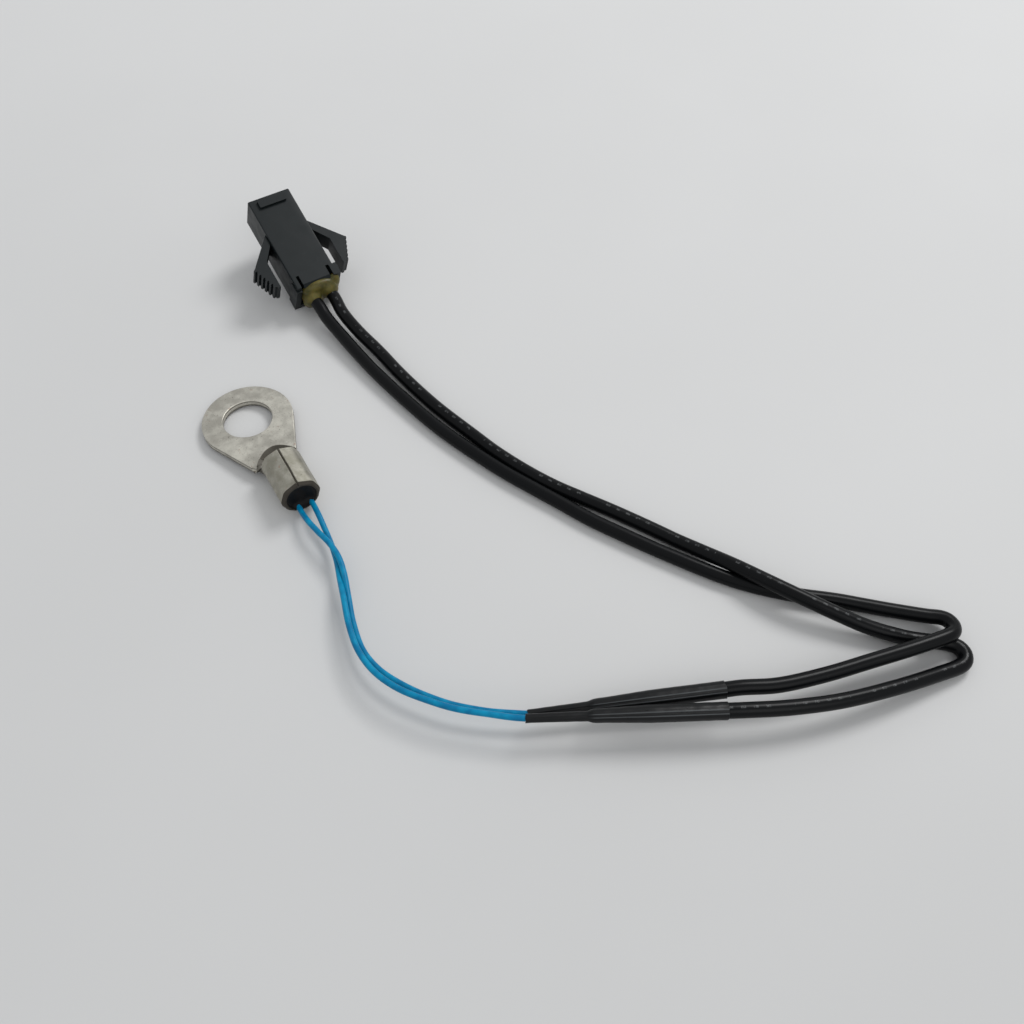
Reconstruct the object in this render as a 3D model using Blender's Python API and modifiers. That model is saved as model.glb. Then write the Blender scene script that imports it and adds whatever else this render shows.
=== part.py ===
"""Ring-lug temperature sensor lead: a bead thermistor potted in the barrel of an M6 ring terminal.

Two thin blue leads run from the bead to two sleeved splices, and two black leads run on from
there to a two-way wire-to-wire plug.  Metres, +Z up.  The origin lies under the middle of the
sensor head on the surface that everything rests on, and +X points from the barrel to the ring.
"""
import math

import bmesh
import bpy
import numpy as np
from mathutils import Matrix, Vector

MM = 0.001

# Ring terminal, for a 6 mm screw
RING_RADIUS = 6.0 * MM
HOLE_RADIUS = 3.25 * MM
PLATE = 1.0 * MM
NECK_HALF_WIDTH = 3.0 * MM
NECK_END = 7.9 * MM          # from the hole's centre to where the tongue curls into the barrel
BOWL_START = 6.0 * MM        # from the hole's centre to the front of the pressed bowl
BOWL_HALF_WIDTH = 2.8 * MM
BOWL_SWEEP = 2.3 * MM        # how far the bowl's mouth curves back towards the barrel
BARREL_FRONT = 9.1 * MM      # from the hole's centre
BARREL_LENGTH = 7.5 * MM
BARREL_RADIUS = 2.45 * MM    # across the flats of the squeezed barrel
BARREL_CORNER = 0.11 * MM    # how far its eight soft corners stand out
BORE_RADIUS = 1.5 * MM
MOUTH_RADIUS = 2.0 * MM      # the rear mouth is chamfered out to a thin rim
MOUTH_DEPTH = 0.6 * MM
BARREL_DROP = 0.9 * MM       # barrel's underside below the tongue's underside
BARREL_OFFSET = -0.9 * MM    # the barrel stands a little to one side of the ring's middle
SEAM_DEPTH = 0.42 * MM
SEAM_HALF_ANGLE = math.radians(11.0)
LAP = 0.35 * MM              # the tongue's curled end runs this far into the barrel
SINK_RUN = 1.2 * MM          # length of the step down into the bowl
SHIFT_START = 4.5 * MM       # from the hole's centre to where the neck begins to lean to the barrel's side

# Bead and potting inside the barrel
BEAD_RADIUS = 0.65 * MM
BEAD_LENGTH = 1.6 * MM
BEAD_BACK = 2.0 * MM         # bead's centre behind the barrel's front
POTTING_GAP = 0.1 * MM
POTTING_RECESS = 1.2 * MM    # filled level inside the barrel's rear mouth
POTTING_START = 0.6 * MM     # behind the barrel's front
LEG_RADIUS = 0.12 * MM
LEG_SPREAD = 0.22 * MM
LEAD_START = 3.9 * MM        # the blue leads' ends behind the barrel's front
LEAD_SPREAD = 0.5 * MM       # from the barrel's axis, growing by LEAD_FAN to the potting's end
LEAD_FAN = 0.22 * MM
LEAD_SAG = 0.25 * MM
CHANNEL_RUN = 2.5 * MM       # a lead's channel starts this far behind the barrel's front
CLEARANCE = 0.1 * MM

# Leads and sleeves
BLUE_RADIUS = 0.35 * MM
BLACK_RADIUS = 0.75 * MM
BLUE_SPACING = 1.6 * MM      # between the points that a lead's tube is built on
BLACK_SPACING = 2.2 * MM
TURN_RUN = 2.5 * MM          # a radian of bend counts as this much extra length when the points are spaced
SLEEVE_PROFILE = (           # outer radius at distances from the narrow end, in millimetres
    (0.0, 0.52), (6.6, 0.55), (7.1, 0.74), (9.0, 0.80), (12.4, 0.94), (13.2, 0.98), (21.0, 0.99), (21.66, 1.0),
)
SLEEVE_WALL = 0.12 * MM
SPLICE_RADIUS = 0.5 * MM
SPLICE_START = 8.0 * MM      # from the sleeve's narrow end
SPLICE_END = 13.2 * MM
BLUE_INTO_SLEEVE = (0.2 * MM, 3.0 * MM, 7.8 * MM)
BLACK_OUT_OF_SLEEVE = (13.5 * MM, 17.5 * MM, 21.6 * MM, 23.5 * MM)
BLACK_INTO_PLUG = (0.4 * MM, 1.8 * MM, 3.3 * MM)

# Plug, in its own frame: x from the wire end to the nose, y across, z up
PLUG_LENGTH = 15.0 * MM
PLUG_WIDTH = 6.4 * MM
PLUG_HEIGHT = 5.2 * MM
PITCH = 2.5 * MM
CAVITY_WIDTH = 2.0 * MM
CAVITY_HEIGHT = 2.5 * MM
NOSE_WALL = 1.4 * MM
BODY_EDGE = 0.18 * MM
FLANGE_LENGTH = 1.5 * MM
FLANGE_BACK = 0.3 * MM       # the flange stands out behind the body's top
FLANGE_LIP = 0.15 * MM
FLANGE_DROP = 0.1 * MM
FLANGE_STEP = 0.6 * MM       # the flange's top below the body's
EAR_START = 0.05 * MM        # raised pad outside the right-hand slot
EAR_LENGTH = 1.7 * MM
EAR_OUT = 0.42 * MM
EAR_RISE = 0.22 * MM
SLOT_ACROSS = 2.3 * MM
SLOT_WIDTH = 0.44 * MM
SLOT_LENGTH = 1.9 * MM
SLOT_DEPTH = 1.0 * MM
TONGUE_CHAMFER = 0.45 * MM   # on the rear edge between the slots
MOUTH_HALF_WIDTH = 2.55 * MM
MOUTH_LOW = 0.75 * MM
MOUTH_HIGH = 4.45 * MM
MOUTH_RUN = 1.6 * MM
PIN_HOLE = 1.4 * MM
BAR_LENGTH = 1.1 * MM        # coding bar across the top, near the nose
BAR_BACK = 0.6 * MM          # from the nose
BAR_HALF_WIDTH = 2.0 * MM
BAR_HEIGHT = 0.4 * MM
ARM_BOTTOM = 1.7 * MM
ARM_TOP = 4.8 * MM
ARM_FRONT = 9.8 * MM         # where the arm's ramp leaves the body
ARM_ROOT = 1.5 * MM          # thickness of the ramp along the body
ARM_CORNER = (5.3 * MM, 7.0 * MM)
ARM_TIP = (1.5 * MM, 5.35 * MM)
ARM_INSIDE = 4.95 * MM       # the wedge's inner face from the plug's middle
ARM_WEDGE_START = 5.7 * MM
ARM_RIDGES = 6
RIDGE_HEIGHT = 0.32 * MM

# Glue round the leads at the wire end, and the contacts inside
GLUE_BACK = 1.75 * MM
GLUE_DEPTH = 1.5 * MM
GLUE_HALF_WIDTH = 2.4 * MM
GLUE_LOW = 0.9 * MM
GLUE_HIGH = 4.3 * MM
GLUE_ROUND = 0.8 * MM
GLUE_CLEARANCE = 0.15 * MM
SOCKET_START = 6.6 * MM      # the box that takes the pin
SOCKET_END = 13.2 * MM
SOCKET_HALF_WIDTH = 0.85 * MM
SOCKET_LOW = 1.05 * MM       # below the cavity's middle
SOCKET_HIGH = 0.95 * MM      # above it
SOCKET_WALL = 0.25 * MM
STRIP_START = 1.9 * MM
STRIP_HALF_WIDTH = 0.6 * MM
STRIP_SHEET = 0.17 * MM
WIRE_CRIMP = (3.9 * MM, 5.9 * MM, 0.6 * MM)   # start, end and radius
GRIP_CRIMP = (2.0 * MM, 3.1 * MM, 0.98 * MM)
CRIMP_DROP = 0.4 * MM
LEAD_SEAT = 3.6 * MM         # a lead reaches this far into its contact
PLUG_YAW = math.radians(3.2)
PLUG_NOSE_UP = math.radians(22.0)
PLUG_ROLL = math.radians(3.0)
PLUG_X = 22.4 * MM
PLUG_Y = -17.0 * MM
FLOOR_GAP = 0.05 * MM

# Where the sleeves lie: the middle of the narrow end, and of the wide end's direction
SLEEVE_A_START = Vector((-49.5, -10.9, 2.2)) * MM
SLEEVE_A_END = Vector((-57.9, -30.9, 2.9)) * MM
SLEEVE_B_START = Vector((-50.35, -10.1, 3.6)) * MM
SLEEVE_B_END = Vector((-60.3, -29.4, 3.6)) * MM

# Hand-chosen points of the leads' routes in millimetres, from the barrel to the sleeves
BLUE_A_ROUTE = (
    (-14.2, -0.3, 2.2), (-16.4, -0.7, 2.4), (-18.7, -1.3, 2.6), (-21.0, -1.5, 2.5), (-23.5, -1.1, 2.3),
    (-26.3, -0.3, 2.0), (-29.9, 0.7, 2.0), (-33.6, 1.2, 2.1), (-36.6, 0.7, 2.2), (-39.4, -0.6, 2.3),
    (-42.2, -2.5, 2.3), (-45.0, -5.0, 2.3),
)
BLUE_B_ROUTE = (
    (-13.7, -1.85, 2.0), (-15.9, -1.7, 1.65), (-18.1, -1.4, 1.5), (-20.9, -0.9, 1.65), (-23.6, -0.15, 1.95),
    (-26.5, 0.6, 2.7), (-30.2, 1.6, 2.95), (-33.9, 2.1, 3.15), (-37.2, 1.7, 3.3), (-40.3, 0.4, 3.45),
    (-43.2, -1.7, 3.55), (-46.1, -4.4, 3.6),
)

# The same for the black leads, from the sleeves round their loops to the plug
BLACK_A_ROUTE = (
    (-60.3, -36.2, 2.85), (-61.8, -41.5, 2.7), (-63.0, -47.2, 2.6), (-64.2, -53.0, 2.6),
    (-64.8, -57.4, 2.4), (-64.54, -58.23, 2.15), (-63.85, -58.76, 1.9), (-62.97, -58.8, 1.7),
    (-62.32, -58.43, 1.55), (-61.4, -57.4, 1.35), (-58.5, -54.3, 1.05), (-54.7, -50.2, 0.85),
    (-50.6, -45.2, 0.8), (-46.2, -41.0, 0.8), (-39.5, -36.4, 0.8), (-34.3, -33.2, 0.82),
    (-30.05, -30.75, 0.85), (-26.2, -28.9, 0.9), (-22.4, -27.0, 0.95), (-18.4, -25.1, 0.95),
    (-8.65, -21.45, 0.95), (-2.2, -19.75, 1.0), (4.0, -18.4, 1.12), (8.0, -17.7, 1.3), (12.7, -17.0, 1.65),
    (16.6, -16.45, 2.15), (18.65, -16.35, 2.6),
)
BLACK_B_ROUTE = (
    (-63.1, -35.2, 3.4), (-65.2, -41.0, 2.9), (-66.7, -47.4, 2.2), (-67.7, -53.6, 1.35),
    (-68.05, -56.65, 1.0), (-67.79, -57.48, 0.92), (-67.1, -58.01, 0.86), (-66.22, -58.05, 0.82),
    (-65.57, -57.68, 0.8), (-64.6, -56.6, 0.8), (-62.9, -54.4, 0.85), (-59.4, -50.6, 1.5),
    (-56.2, -48.0, 2.2), (-52.6, -45.5, 2.75), (-49.1, -43.6, 2.65), (-45.1, -41.8, 2.05),
    (-41.3, -40.0, 1.3), (-37.2, -37.8, 0.85), (-31.2, -34.3, 0.8), (-27.1, -31.7, 0.8),
    (-23.65, -29.55, 0.8), (-19.7, -27.6, 0.8), (-15.3, -25.85, 0.8), (-11.9, -24.8, 0.8),
    (-4.6, -22.65, 0.9), (2.7, -21.1, 1.05), (7.7, -20.3, 1.3), (12.3, -19.35, 1.65), (16.4, -18.8, 2.15),
    (19.5, -18.9, 2.6),
)


def smoothstep(value):
    """Smooth 0 to 1 ramp of an array."""
    value = np.clip(value, 0.0, 1.0)
    return value * value * (3.0 - 2.0 * value)


def clear_scene():
    for obj in list(bpy.data.objects):
        bpy.data.objects.remove(obj, do_unlink=True)


def new_collection(name):
    collection = bpy.data.collections.new(name)
    bpy.context.scene.collection.children.link(collection)
    return collection


def make_material(name, colour, roughness, metallic=0.0):
    material = bpy.data.materials.new(name)
    material.use_nodes = True
    shader = material.node_tree.nodes["Principled BSDF"]
    shader.inputs["Base Color"].default_value = (*colour, 1.0)
    shader.inputs["Roughness"].default_value = roughness
    shader.inputs["Metallic"].default_value = metallic
    return material


def add_object(name, data, collection, parent=None, material=None):
    """Put a mesh, curve or empty in its collection, under its frame and with its material."""
    obj = bpy.data.objects.new(name, data)
    collection.objects.link(obj)
    if parent is not None:
        obj.parent = parent
    if material is not None:
        obj.data.materials.append(material)
    return obj


def add_cutter(name, mesh, collection, frame):
    """A mesh that only shapes another one, drawn as wires."""
    cutter = add_object(name, mesh, collection, frame)
    cutter.hide_render = True
    cutter.display_type = "WIRE"
    return cutter


def add_boolean(obj, other, operation):
    modifier = obj.modifiers.new(operation.title(), "BOOLEAN")
    modifier.operation = operation
    modifier.solver = "EXACT"
    modifier.object = other


def shade(obj, angle=math.radians(35)):
    obj.data.shade_smooth()
    obj.data.set_sharp_from_angle(angle=angle)


def box_mesh(name, low, high):
    """A box between two corners, from the cube primitive."""
    bm = bmesh.new()
    bmesh.ops.create_cube(bm, size=1.0)
    size = Vector(high) - Vector(low)
    middle = (Vector(high) + Vector(low)) / 2
    bmesh.ops.scale(bm, vec=size, verts=bm.verts)
    bmesh.ops.translate(bm, vec=middle, verts=bm.verts)
    mesh = bpy.data.meshes.new(name)
    bm.to_mesh(mesh)
    bm.free()
    return mesh


def cylinder_between(name, start, end, radius, segments=16):
    """A round bar between two points, from the cone primitive."""
    start = Vector(start)
    axis = Vector(end) - start
    bm = bmesh.new()
    bmesh.ops.create_cone(bm, cap_ends=True, segments=segments, radius1=radius, radius2=radius,
                          depth=axis.length)
    turn = axis.to_track_quat("Z", "Y").to_matrix().to_4x4()
    bmesh.ops.transform(bm, matrix=Matrix.Translation(start + axis / 2) @ turn, verts=bm.verts)
    mesh = bpy.data.meshes.new(name)
    bm.to_mesh(mesh)
    bm.free()
    return mesh


def curve_to_mesh(curve):
    """The surface of a curve as a mesh without doubled points."""
    holder = bpy.data.objects.new(curve.name, curve)
    bpy.context.scene.collection.objects.link(holder)
    depsgraph = bpy.context.evaluated_depsgraph_get()
    mesh = bpy.data.meshes.new_from_object(holder.evaluated_get(depsgraph))
    bpy.data.objects.remove(holder, do_unlink=True)
    bm = bmesh.new()
    bm.from_mesh(mesh)
    bmesh.ops.remove_doubles(bm, verts=bm.verts, dist=0.002 * MM)
    bm.to_mesh(mesh)
    bm.free()
    return mesh


def outline_mesh(name, outlines, low, high):
    """Flat closed outlines (the later ones are holes) extruded along Z, as one closed mesh."""
    curve = bpy.data.curves.new(name, "CURVE")
    curve.dimensions = "2D"
    curve.fill_mode = "BOTH"
    curve.extrude = (high - low) / 2
    for outline in outlines:
        spline = curve.splines.new("POLY")
        spline.points.add(len(outline) - 1)
        for point, (x, y) in zip(spline.points, outline):
            point.co = (x, y, 0.0, 1.0)
        spline.use_cyclic_u = True
    mesh = curve_to_mesh(curve)
    mesh.transform(Matrix.Translation((0, 0, (high + low) / 2)))
    return mesh


def smooth_route(points, spacing):
    """Points on a centripetal Catmull-Rom curve through the given ones, closer together where it bends."""
    knots = np.array([tuple(point) for point in points], dtype=float)
    first = 2 * knots[0] - knots[1]
    last = 2 * knots[-1] - knots[-2]
    knots = np.vstack([first, knots, last])
    fine = []
    for index in range(1, len(knots) - 2):
        p0, p1, p2, p3 = knots[index - 1:index + 3]
        t1 = np.linalg.norm(p1 - p0) ** 0.5
        t2 = t1 + np.linalg.norm(p2 - p1) ** 0.5
        t3 = t2 + np.linalg.norm(p3 - p2) ** 0.5
        t = np.linspace(t1, t2, 24, endpoint=False)[:, None]
        a1 = (t1 - t) / t1 * p0 + t / t1 * p1
        a2 = (t2 - t) / (t2 - t1) * p1 + (t - t1) / (t2 - t1) * p2
        a3 = (t3 - t) / (t3 - t2) * p2 + (t - t2) / (t3 - t2) * p3
        b1 = (t2 - t) / t2 * a1 + t / t2 * a2
        b2 = (t3 - t) / (t3 - t1) * a2 + (t - t1) / (t3 - t1) * a3
        fine.append((t2 - t) / (t2 - t1) * b1 + (t - t1) / (t2 - t1) * b2)
    fine = np.vstack([*fine, knots[-2]])
    steps = np.diff(fine, axis=0)
    lengths = np.linalg.norm(steps, axis=1)
    heading = steps / lengths[:, None]
    cosine = np.clip(np.sum(heading[1:] * heading[:-1], axis=1), -1.0, 1.0)
    turned = np.concatenate([[0.0], np.arccos(cosine)])
    run = np.concatenate([[0.0], np.cumsum(lengths + TURN_RUN * turned)])
    even = np.linspace(0.0, run[-1], max(2, round(run[-1] / spacing) + 1))
    return np.stack([np.interp(even, run, fine[:, axis]) for axis in range(3)], axis=1)


def tube_curve(name, route, radius):
    """A round tube with closed ends along the points of a route."""
    curve = bpy.data.curves.new(name, "CURVE")
    curve.dimensions = "3D"
    curve.bevel_depth = radius
    curve.bevel_resolution = 2
    curve.use_fill_caps = True
    spline = curve.splines.new("POLY")
    spline.points.add(len(route) - 1)
    spline.points.foreach_set("co", np.column_stack([route, np.ones(len(route))]).ravel())
    return curve


def lug_tilt():
    """The lug rests on the ring's far edge and the barrel's front, which hangs lower."""
    return math.atan2(BARREL_DROP, RING_RADIUS + BARREL_FRONT)


def lug_matrix():
    tilt = lug_tilt()
    barrel_end = BARREL_FRONT + BARREL_LENGTH
    far = RING_RADIUS * math.cos(tilt) + PLATE * math.sin(tilt)
    near = -barrel_end * math.cos(tilt) - BARREL_DROP * math.sin(tilt)
    place = Vector((-(far + near) / 2, 0.0, RING_RADIUS * math.sin(tilt)))
    return Matrix.Translation(place) @ Matrix.Rotation(tilt, 4, "Y")


def barrel_middle():
    return BARREL_RADIUS - BARREL_DROP


def plug_matrix():
    """The plug's wire end rests on the surface and its stiff leads hold the nose up."""
    turn = Matrix.Rotation(PLUG_YAW, 4, "Z") @ Matrix.Rotation(-PLUG_NOSE_UP, 4, "Y")
    turn = turn @ Matrix.Rotation(PLUG_ROLL, 4, "X")
    half = PLUG_WIDTH / 2 + FLANGE_LIP
    lowest = min((turn @ Vector((-FLANGE_BACK, side * half, -FLANGE_DROP))).z for side in (-1, 1))
    return Matrix.Translation((PLUG_X, PLUG_Y, FLOOR_GAP - lowest)) @ turn


def plug_point(along, across, up):
    return plug_matrix() @ Vector((along, across, up))


def tongue_reach(angle):
    """Distance from the hole's centre to the tongue's outline at an angle from the far end."""
    corner = math.atan2(NECK_HALF_WIDTH, -NECK_END)
    reach = math.hypot(NECK_HALF_WIDTH, NECK_END)
    tangent = corner - math.acos(RING_RADIUS / reach)
    end = BARREL_FRONT + LAP
    turn = abs(angle)
    if turn <= tangent:
        return RING_RADIUS
    if turn <= corner:
        return RING_RADIUS / math.cos(turn - tangent)
    return min(NECK_HALF_WIDTH / math.sin(turn) if turn < math.pi - 1e-6 else end, end / -math.cos(turn))


def tongue_angles():
    corner = math.atan2(NECK_HALF_WIDTH, -NECK_END)
    tangent = corner - math.acos(RING_RADIUS / math.hypot(NECK_HALF_WIDTH, NECK_END))
    end = math.atan2(NECK_HALF_WIDTH, -(BARREL_FRONT + LAP))
    spans = ((0.0, tangent, 15), (tangent, corner, 9), (corner, end, 3), (end, math.pi, 9))
    half = np.concatenate([np.linspace(low, high, count, endpoint=False) for low, high, count in spans])
    return np.concatenate([half, [math.pi], -half[:0:-1]])


def tongue_surface(along, across):
    """Middle of the formed sheet: flat ring, pressed bowl, and sides curled up into the barrel.

    The bowl's mouth is a parabola across the neck.  Behind it the sheet sinks by the barrel's drop,
    and from the neck's end on it is bent to an arc that runs into the barrel's wall.
    """
    mouth = -BOWL_START - BOWL_SWEEP * (across / BOWL_HALF_WIDTH) ** 2
    sink = BARREL_DROP * smoothstep((mouth - along) / SINK_RUN)
    shift = BARREL_OFFSET * smoothstep((-along - SHIFT_START) / (BARREL_FRONT - SHIFT_START))
    curl = smoothstep((-along - NECK_END) / (BARREL_FRONT - NECK_END))
    arc = BARREL_RADIUS - PLATE / 2 - 0.02 * MM
    arc_across = arc * np.sin(across / arc)
    arc_up = barrel_middle() - arc * np.cos(across / arc)
    flat_up = PLATE / 2 - sink
    return shift + across + curl * (arc_across - across), flat_up + curl * (arc_up - flat_up)


def tongue_mesh():
    """Rings of points from the hole's edge out to the outline, before the sheet gets its thickness."""
    angles = tongue_angles()
    rings = 13
    share = np.linspace(0.0, 1.0, rings)[:, None]
    reach = np.array([tongue_reach(angle) for angle in angles])[None, :]
    radius = HOLE_RADIUS + share * (reach - HOLE_RADIUS)
    along = radius * np.cos(angles)[None, :]
    across = radius * np.sin(angles)[None, :]
    side, up = tongue_surface(along, across)
    points = np.stack([along, side, up], axis=2).reshape(-1, 3)
    count = len(angles)
    faces = []
    for ring in range(rings - 1):
        for step in range(count):
            following = (step + 1) % count
            low = ring * count
            faces.append((low + step, low + count + step, low + count + following, low + following))
    mesh = bpy.data.meshes.new("ring_terminal")
    mesh.from_pydata(points.tolist(), [], faces)
    mesh.update()
    return mesh


def barrel_outline():
    """Section of the barrel: a soft octagon with the seam's groove along its top corner."""
    count = 72
    outline = []
    for step in range(count):
        angle = 2 * math.pi * step / count
        radius = BARREL_RADIUS + BARREL_CORNER * (0.5 + 0.5 * math.cos(8 * angle))
        from_seam = abs(angle - math.pi / 2)
        radius -= SEAM_DEPTH * max(0.0, 1.0 - from_seam / SEAM_HALF_ANGLE)
        outline.append((radius * math.cos(angle), radius * math.sin(angle)))
    return outline


def barrel_mesh():
    """The barrel's section carried from its front face to its rear mouth."""
    bore = [(BORE_RADIUS * math.cos(turn), BORE_RADIUS * math.sin(turn))
            for turn in np.linspace(0.0, 2 * math.pi, 32, endpoint=False)]
    mesh = outline_mesh("barrel_blank", [barrel_outline(), bore], 0.0, BARREL_LENGTH)
    # section x across the lug, section y up, and the length towards the wires
    turn = Matrix(((0, 0, -1, -BARREL_FRONT), (-1, 0, 0, BARREL_OFFSET),
                   (0, 1, 0, barrel_middle()), (0, 0, 0, 1)))
    mesh.transform(turn)
    return mesh


def cone_between(name, front, back, front_radius, back_radius):
    """A cone on the barrel's axis between two distances along it."""
    bm = bmesh.new()
    bmesh.ops.create_cone(bm, cap_ends=True, segments=32, radius1=back_radius, radius2=front_radius,
                          depth=front - back)
    turn = Matrix.Rotation(math.pi / 2, 4, "Y")
    place = Matrix.Translation(((front + back) / 2, BARREL_OFFSET, barrel_middle()))
    bmesh.ops.transform(bm, matrix=place @ turn, verts=bm.verts)
    mesh = bpy.data.meshes.new(name)
    bm.to_mesh(mesh)
    bm.free()
    return mesh


def build_ring_terminal(parts, cutters, frame):
    metal = make_material("tinned_copper", (0.55, 0.52, 0.47), 0.38, 1.0)
    tongue = add_object("ring_terminal", tongue_mesh(), parts, frame, metal)
    solidify = tongue.modifiers.new("Sheet", "SOLIDIFY")
    solidify.thickness = PLATE
    solidify.offset = 0.0
    solidify.use_even_offset = True
    barrel = add_cutter("barrel_blank", barrel_mesh(), cutters, frame)
    add_boolean(tongue, barrel, "UNION")
    rear = -BARREL_FRONT - BARREL_LENGTH
    wide = 2 * MOUTH_RADIUS - BORE_RADIUS
    mesh = cone_between("rear_chamfer", rear + MOUTH_DEPTH, rear - MOUTH_DEPTH, BORE_RADIUS, wide)
    add_boolean(tongue, add_cutter("rear_chamfer", mesh, cutters, frame), "DIFFERENCE")
    shade(tongue)


def bead_place():
    return Vector((-BARREL_FRONT - BEAD_BACK, BARREL_OFFSET, barrel_middle()))


def potting_end():
    """Distance of the potting's level end from the hole's centre."""
    return BARREL_FRONT + BARREL_LENGTH - POTTING_RECESS


def lead_in_potting(side, share):
    """Point on a blue lead's straight stretch: share 0 at the lead's end, 1 where it leaves the potting."""
    start = BARREL_FRONT + LEAD_START
    along = start + share * (potting_end() - start)
    across = LEAD_SPREAD + LEAD_FAN * share
    return Vector((-along, BARREL_OFFSET + side * across, barrel_middle() - CLEARANCE - LEAD_SAG * share))


def build_potting(parts, cutters, frame):
    epoxy = make_material("black_epoxy", (0.02, 0.02, 0.022), 0.35)
    start = Vector((-BARREL_FRONT - POTTING_START, BARREL_OFFSET, barrel_middle()))
    end = Vector((-potting_end(), BARREL_OFFSET, barrel_middle()))
    mesh = cylinder_between("barrel_potting", start, end, BORE_RADIUS - POTTING_GAP, 32)
    potting = add_object("barrel_potting", mesh, parts, frame, epoxy)
    bm = bmesh.new()
    bmesh.ops.create_uvsphere(bm, u_segments=16, v_segments=10, radius=BEAD_RADIUS + CLEARANCE)
    bmesh.ops.scale(bm, vec=(BEAD_LENGTH / 2 / BEAD_RADIUS, 1, 1), verts=bm.verts)
    bmesh.ops.translate(bm, vec=bead_place(), verts=bm.verts)
    pocket = bpy.data.meshes.new("bead_pocket")
    bm.to_mesh(pocket)
    bm.free()
    add_boolean(potting, add_cutter("bead_pocket", pocket, cutters, frame), "DIFFERENCE")
    for side, name in ((1, "a"), (-1, "b")):
        inner = (CHANNEL_RUN - LEAD_START) / (potting_end() - BARREL_FRONT - LEAD_START)
        line = (lead_in_potting(side, inner), lead_in_potting(side, 1.25))
        channel = cylinder_between("lead_channel_" + name, *line, BLUE_RADIUS + CLEARANCE, 12)
        add_boolean(potting, add_cutter("lead_channel_" + name, channel, cutters, frame), "DIFFERENCE")
    shade(potting)


def build_bead(parts, frame):
    """The coated bead, and the two bare legs that join it to the blue leads."""
    coat = make_material("bead_coating", (0.12, 0.03, 0.02), 0.3)
    wire = make_material("leg_wire", (0.6, 0.58, 0.55), 0.3, 1.0)
    bm = bmesh.new()
    bmesh.ops.create_uvsphere(bm, u_segments=20, v_segments=12, radius=BEAD_RADIUS)
    bmesh.ops.scale(bm, vec=(BEAD_LENGTH / 2 / BEAD_RADIUS, 1, 1), verts=bm.verts)
    bmesh.ops.translate(bm, vec=bead_place(), verts=bm.verts)
    mesh = bpy.data.meshes.new("thermistor_bead")
    bm.to_mesh(mesh)
    bm.free()
    shade(add_object("thermistor_bead", mesh, parts, frame, coat))
    for side, name in ((1, "a"), (-1, "b")):
        start = bead_place() + Vector((-0.5 * BEAD_LENGTH, side * LEG_SPREAD, 0.0))
        end = lead_in_potting(side, 0.0) + Vector((0.8 * CLEARANCE, 0.0, 0.0))
        leg = cylinder_between("bead_leg_" + name, start, end, LEG_RADIUS, 8)
        shade(add_object("bead_leg_" + name, leg, parts, frame, wire))


def sleeve_profile():
    """Half section of a sleeve shrunk over a thin lead, a joint and a thick lead, as a closed outline."""
    outer = [(radius * MM, height * MM) for height, radius in SLEEVE_PROFILE]
    inner = [(radius - SLEEVE_WALL, height) for radius, height in outer]
    return outer[::-1] + inner


def build_sleeve(name, start, end, parts, material):
    profile = sleeve_profile()
    mesh = bpy.data.meshes.new(name)
    edges = [(index, (index + 1) % len(profile)) for index in range(len(profile))]
    mesh.from_pydata([(x, 0.0, z) for x, z in profile], edges, [])
    sleeve = add_object(name, mesh, parts, None, material)
    sleeve.location = start
    sleeve.rotation_euler = (end - start).to_track_quat("Z", "Y").to_euler()
    screw = sleeve.modifiers.new("Turn", "SCREW")
    screw.steps = 20
    screw.render_steps = 20
    screw.use_merge_vertices = True
    screw.merge_threshold = 0.00001
    screw.use_smooth_shade = True


def sleeve_point(start, end, run):
    return start + (end - start).normalized() * run


def build_splices(parts):
    """Sleeves and the soldered joints inside them."""
    rubber = make_material("heatshrink", (0.015, 0.015, 0.016), 0.42)
    solder = make_material("solder", (0.6, 0.6, 0.6), 0.35, 1.0)
    for name, start, end in (("a", SLEEVE_A_START, SLEEVE_A_END), ("b", SLEEVE_B_START, SLEEVE_B_END)):
        build_sleeve("heatshrink_sleeve_" + name, start, end, parts, rubber)
        low = sleeve_point(start, end, SPLICE_START)
        high = sleeve_point(start, end, SPLICE_END)
        joint = cylinder_between("splice_joint_" + name, low, high, SPLICE_RADIUS, 12)
        shade(add_object("splice_joint_" + name, joint, parts, None, solder))


def black_points(side, thick, start, end):
    """Chosen points of a black lead from inside its sleeve to inside the plug."""
    out = [sleeve_point(start, end, run) for run in BLACK_OUT_OF_SLEEVE]
    home = [plug_point(along, side * PITCH / 2, PLUG_HEIGHT / 2) for along in BLACK_INTO_PLUG]
    return out + [Vector(point) * MM for point in thick] + home


def build_leads(parts):
    blue = make_material("blue_insulation", (0.02, 0.32, 0.75), 0.35)
    black = make_material("black_insulation", (0.012, 0.012, 0.013), 0.3)
    runs = (("a", 1, BLUE_A_ROUTE, BLACK_A_ROUTE, SLEEVE_A_START, SLEEVE_A_END),
            ("b", -1, BLUE_B_ROUTE, BLACK_B_ROUTE, SLEEVE_B_START, SLEEVE_B_END))
    for name, side, thin, thick, start, end in runs:
        inside = [lug_matrix() @ lead_in_potting(side, share) for share in (0.0, 0.5, 1.0, 1.5)]
        into = [sleeve_point(start, end, run) for run in BLUE_INTO_SLEEVE]
        route = smooth_route(inside + [Vector(point) * MM for point in thin] + into, BLUE_SPACING)
        label = "blue_lead_" + name
        add_object(label, tube_curve(label, route, BLUE_RADIUS), parts, None, blue)
        route = smooth_route(black_points(side, thick, start, end), BLACK_SPACING)
        label = "black_lead_" + name
        add_object(label, tube_curve(label, route, BLACK_RADIUS), parts, None, black)


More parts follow.
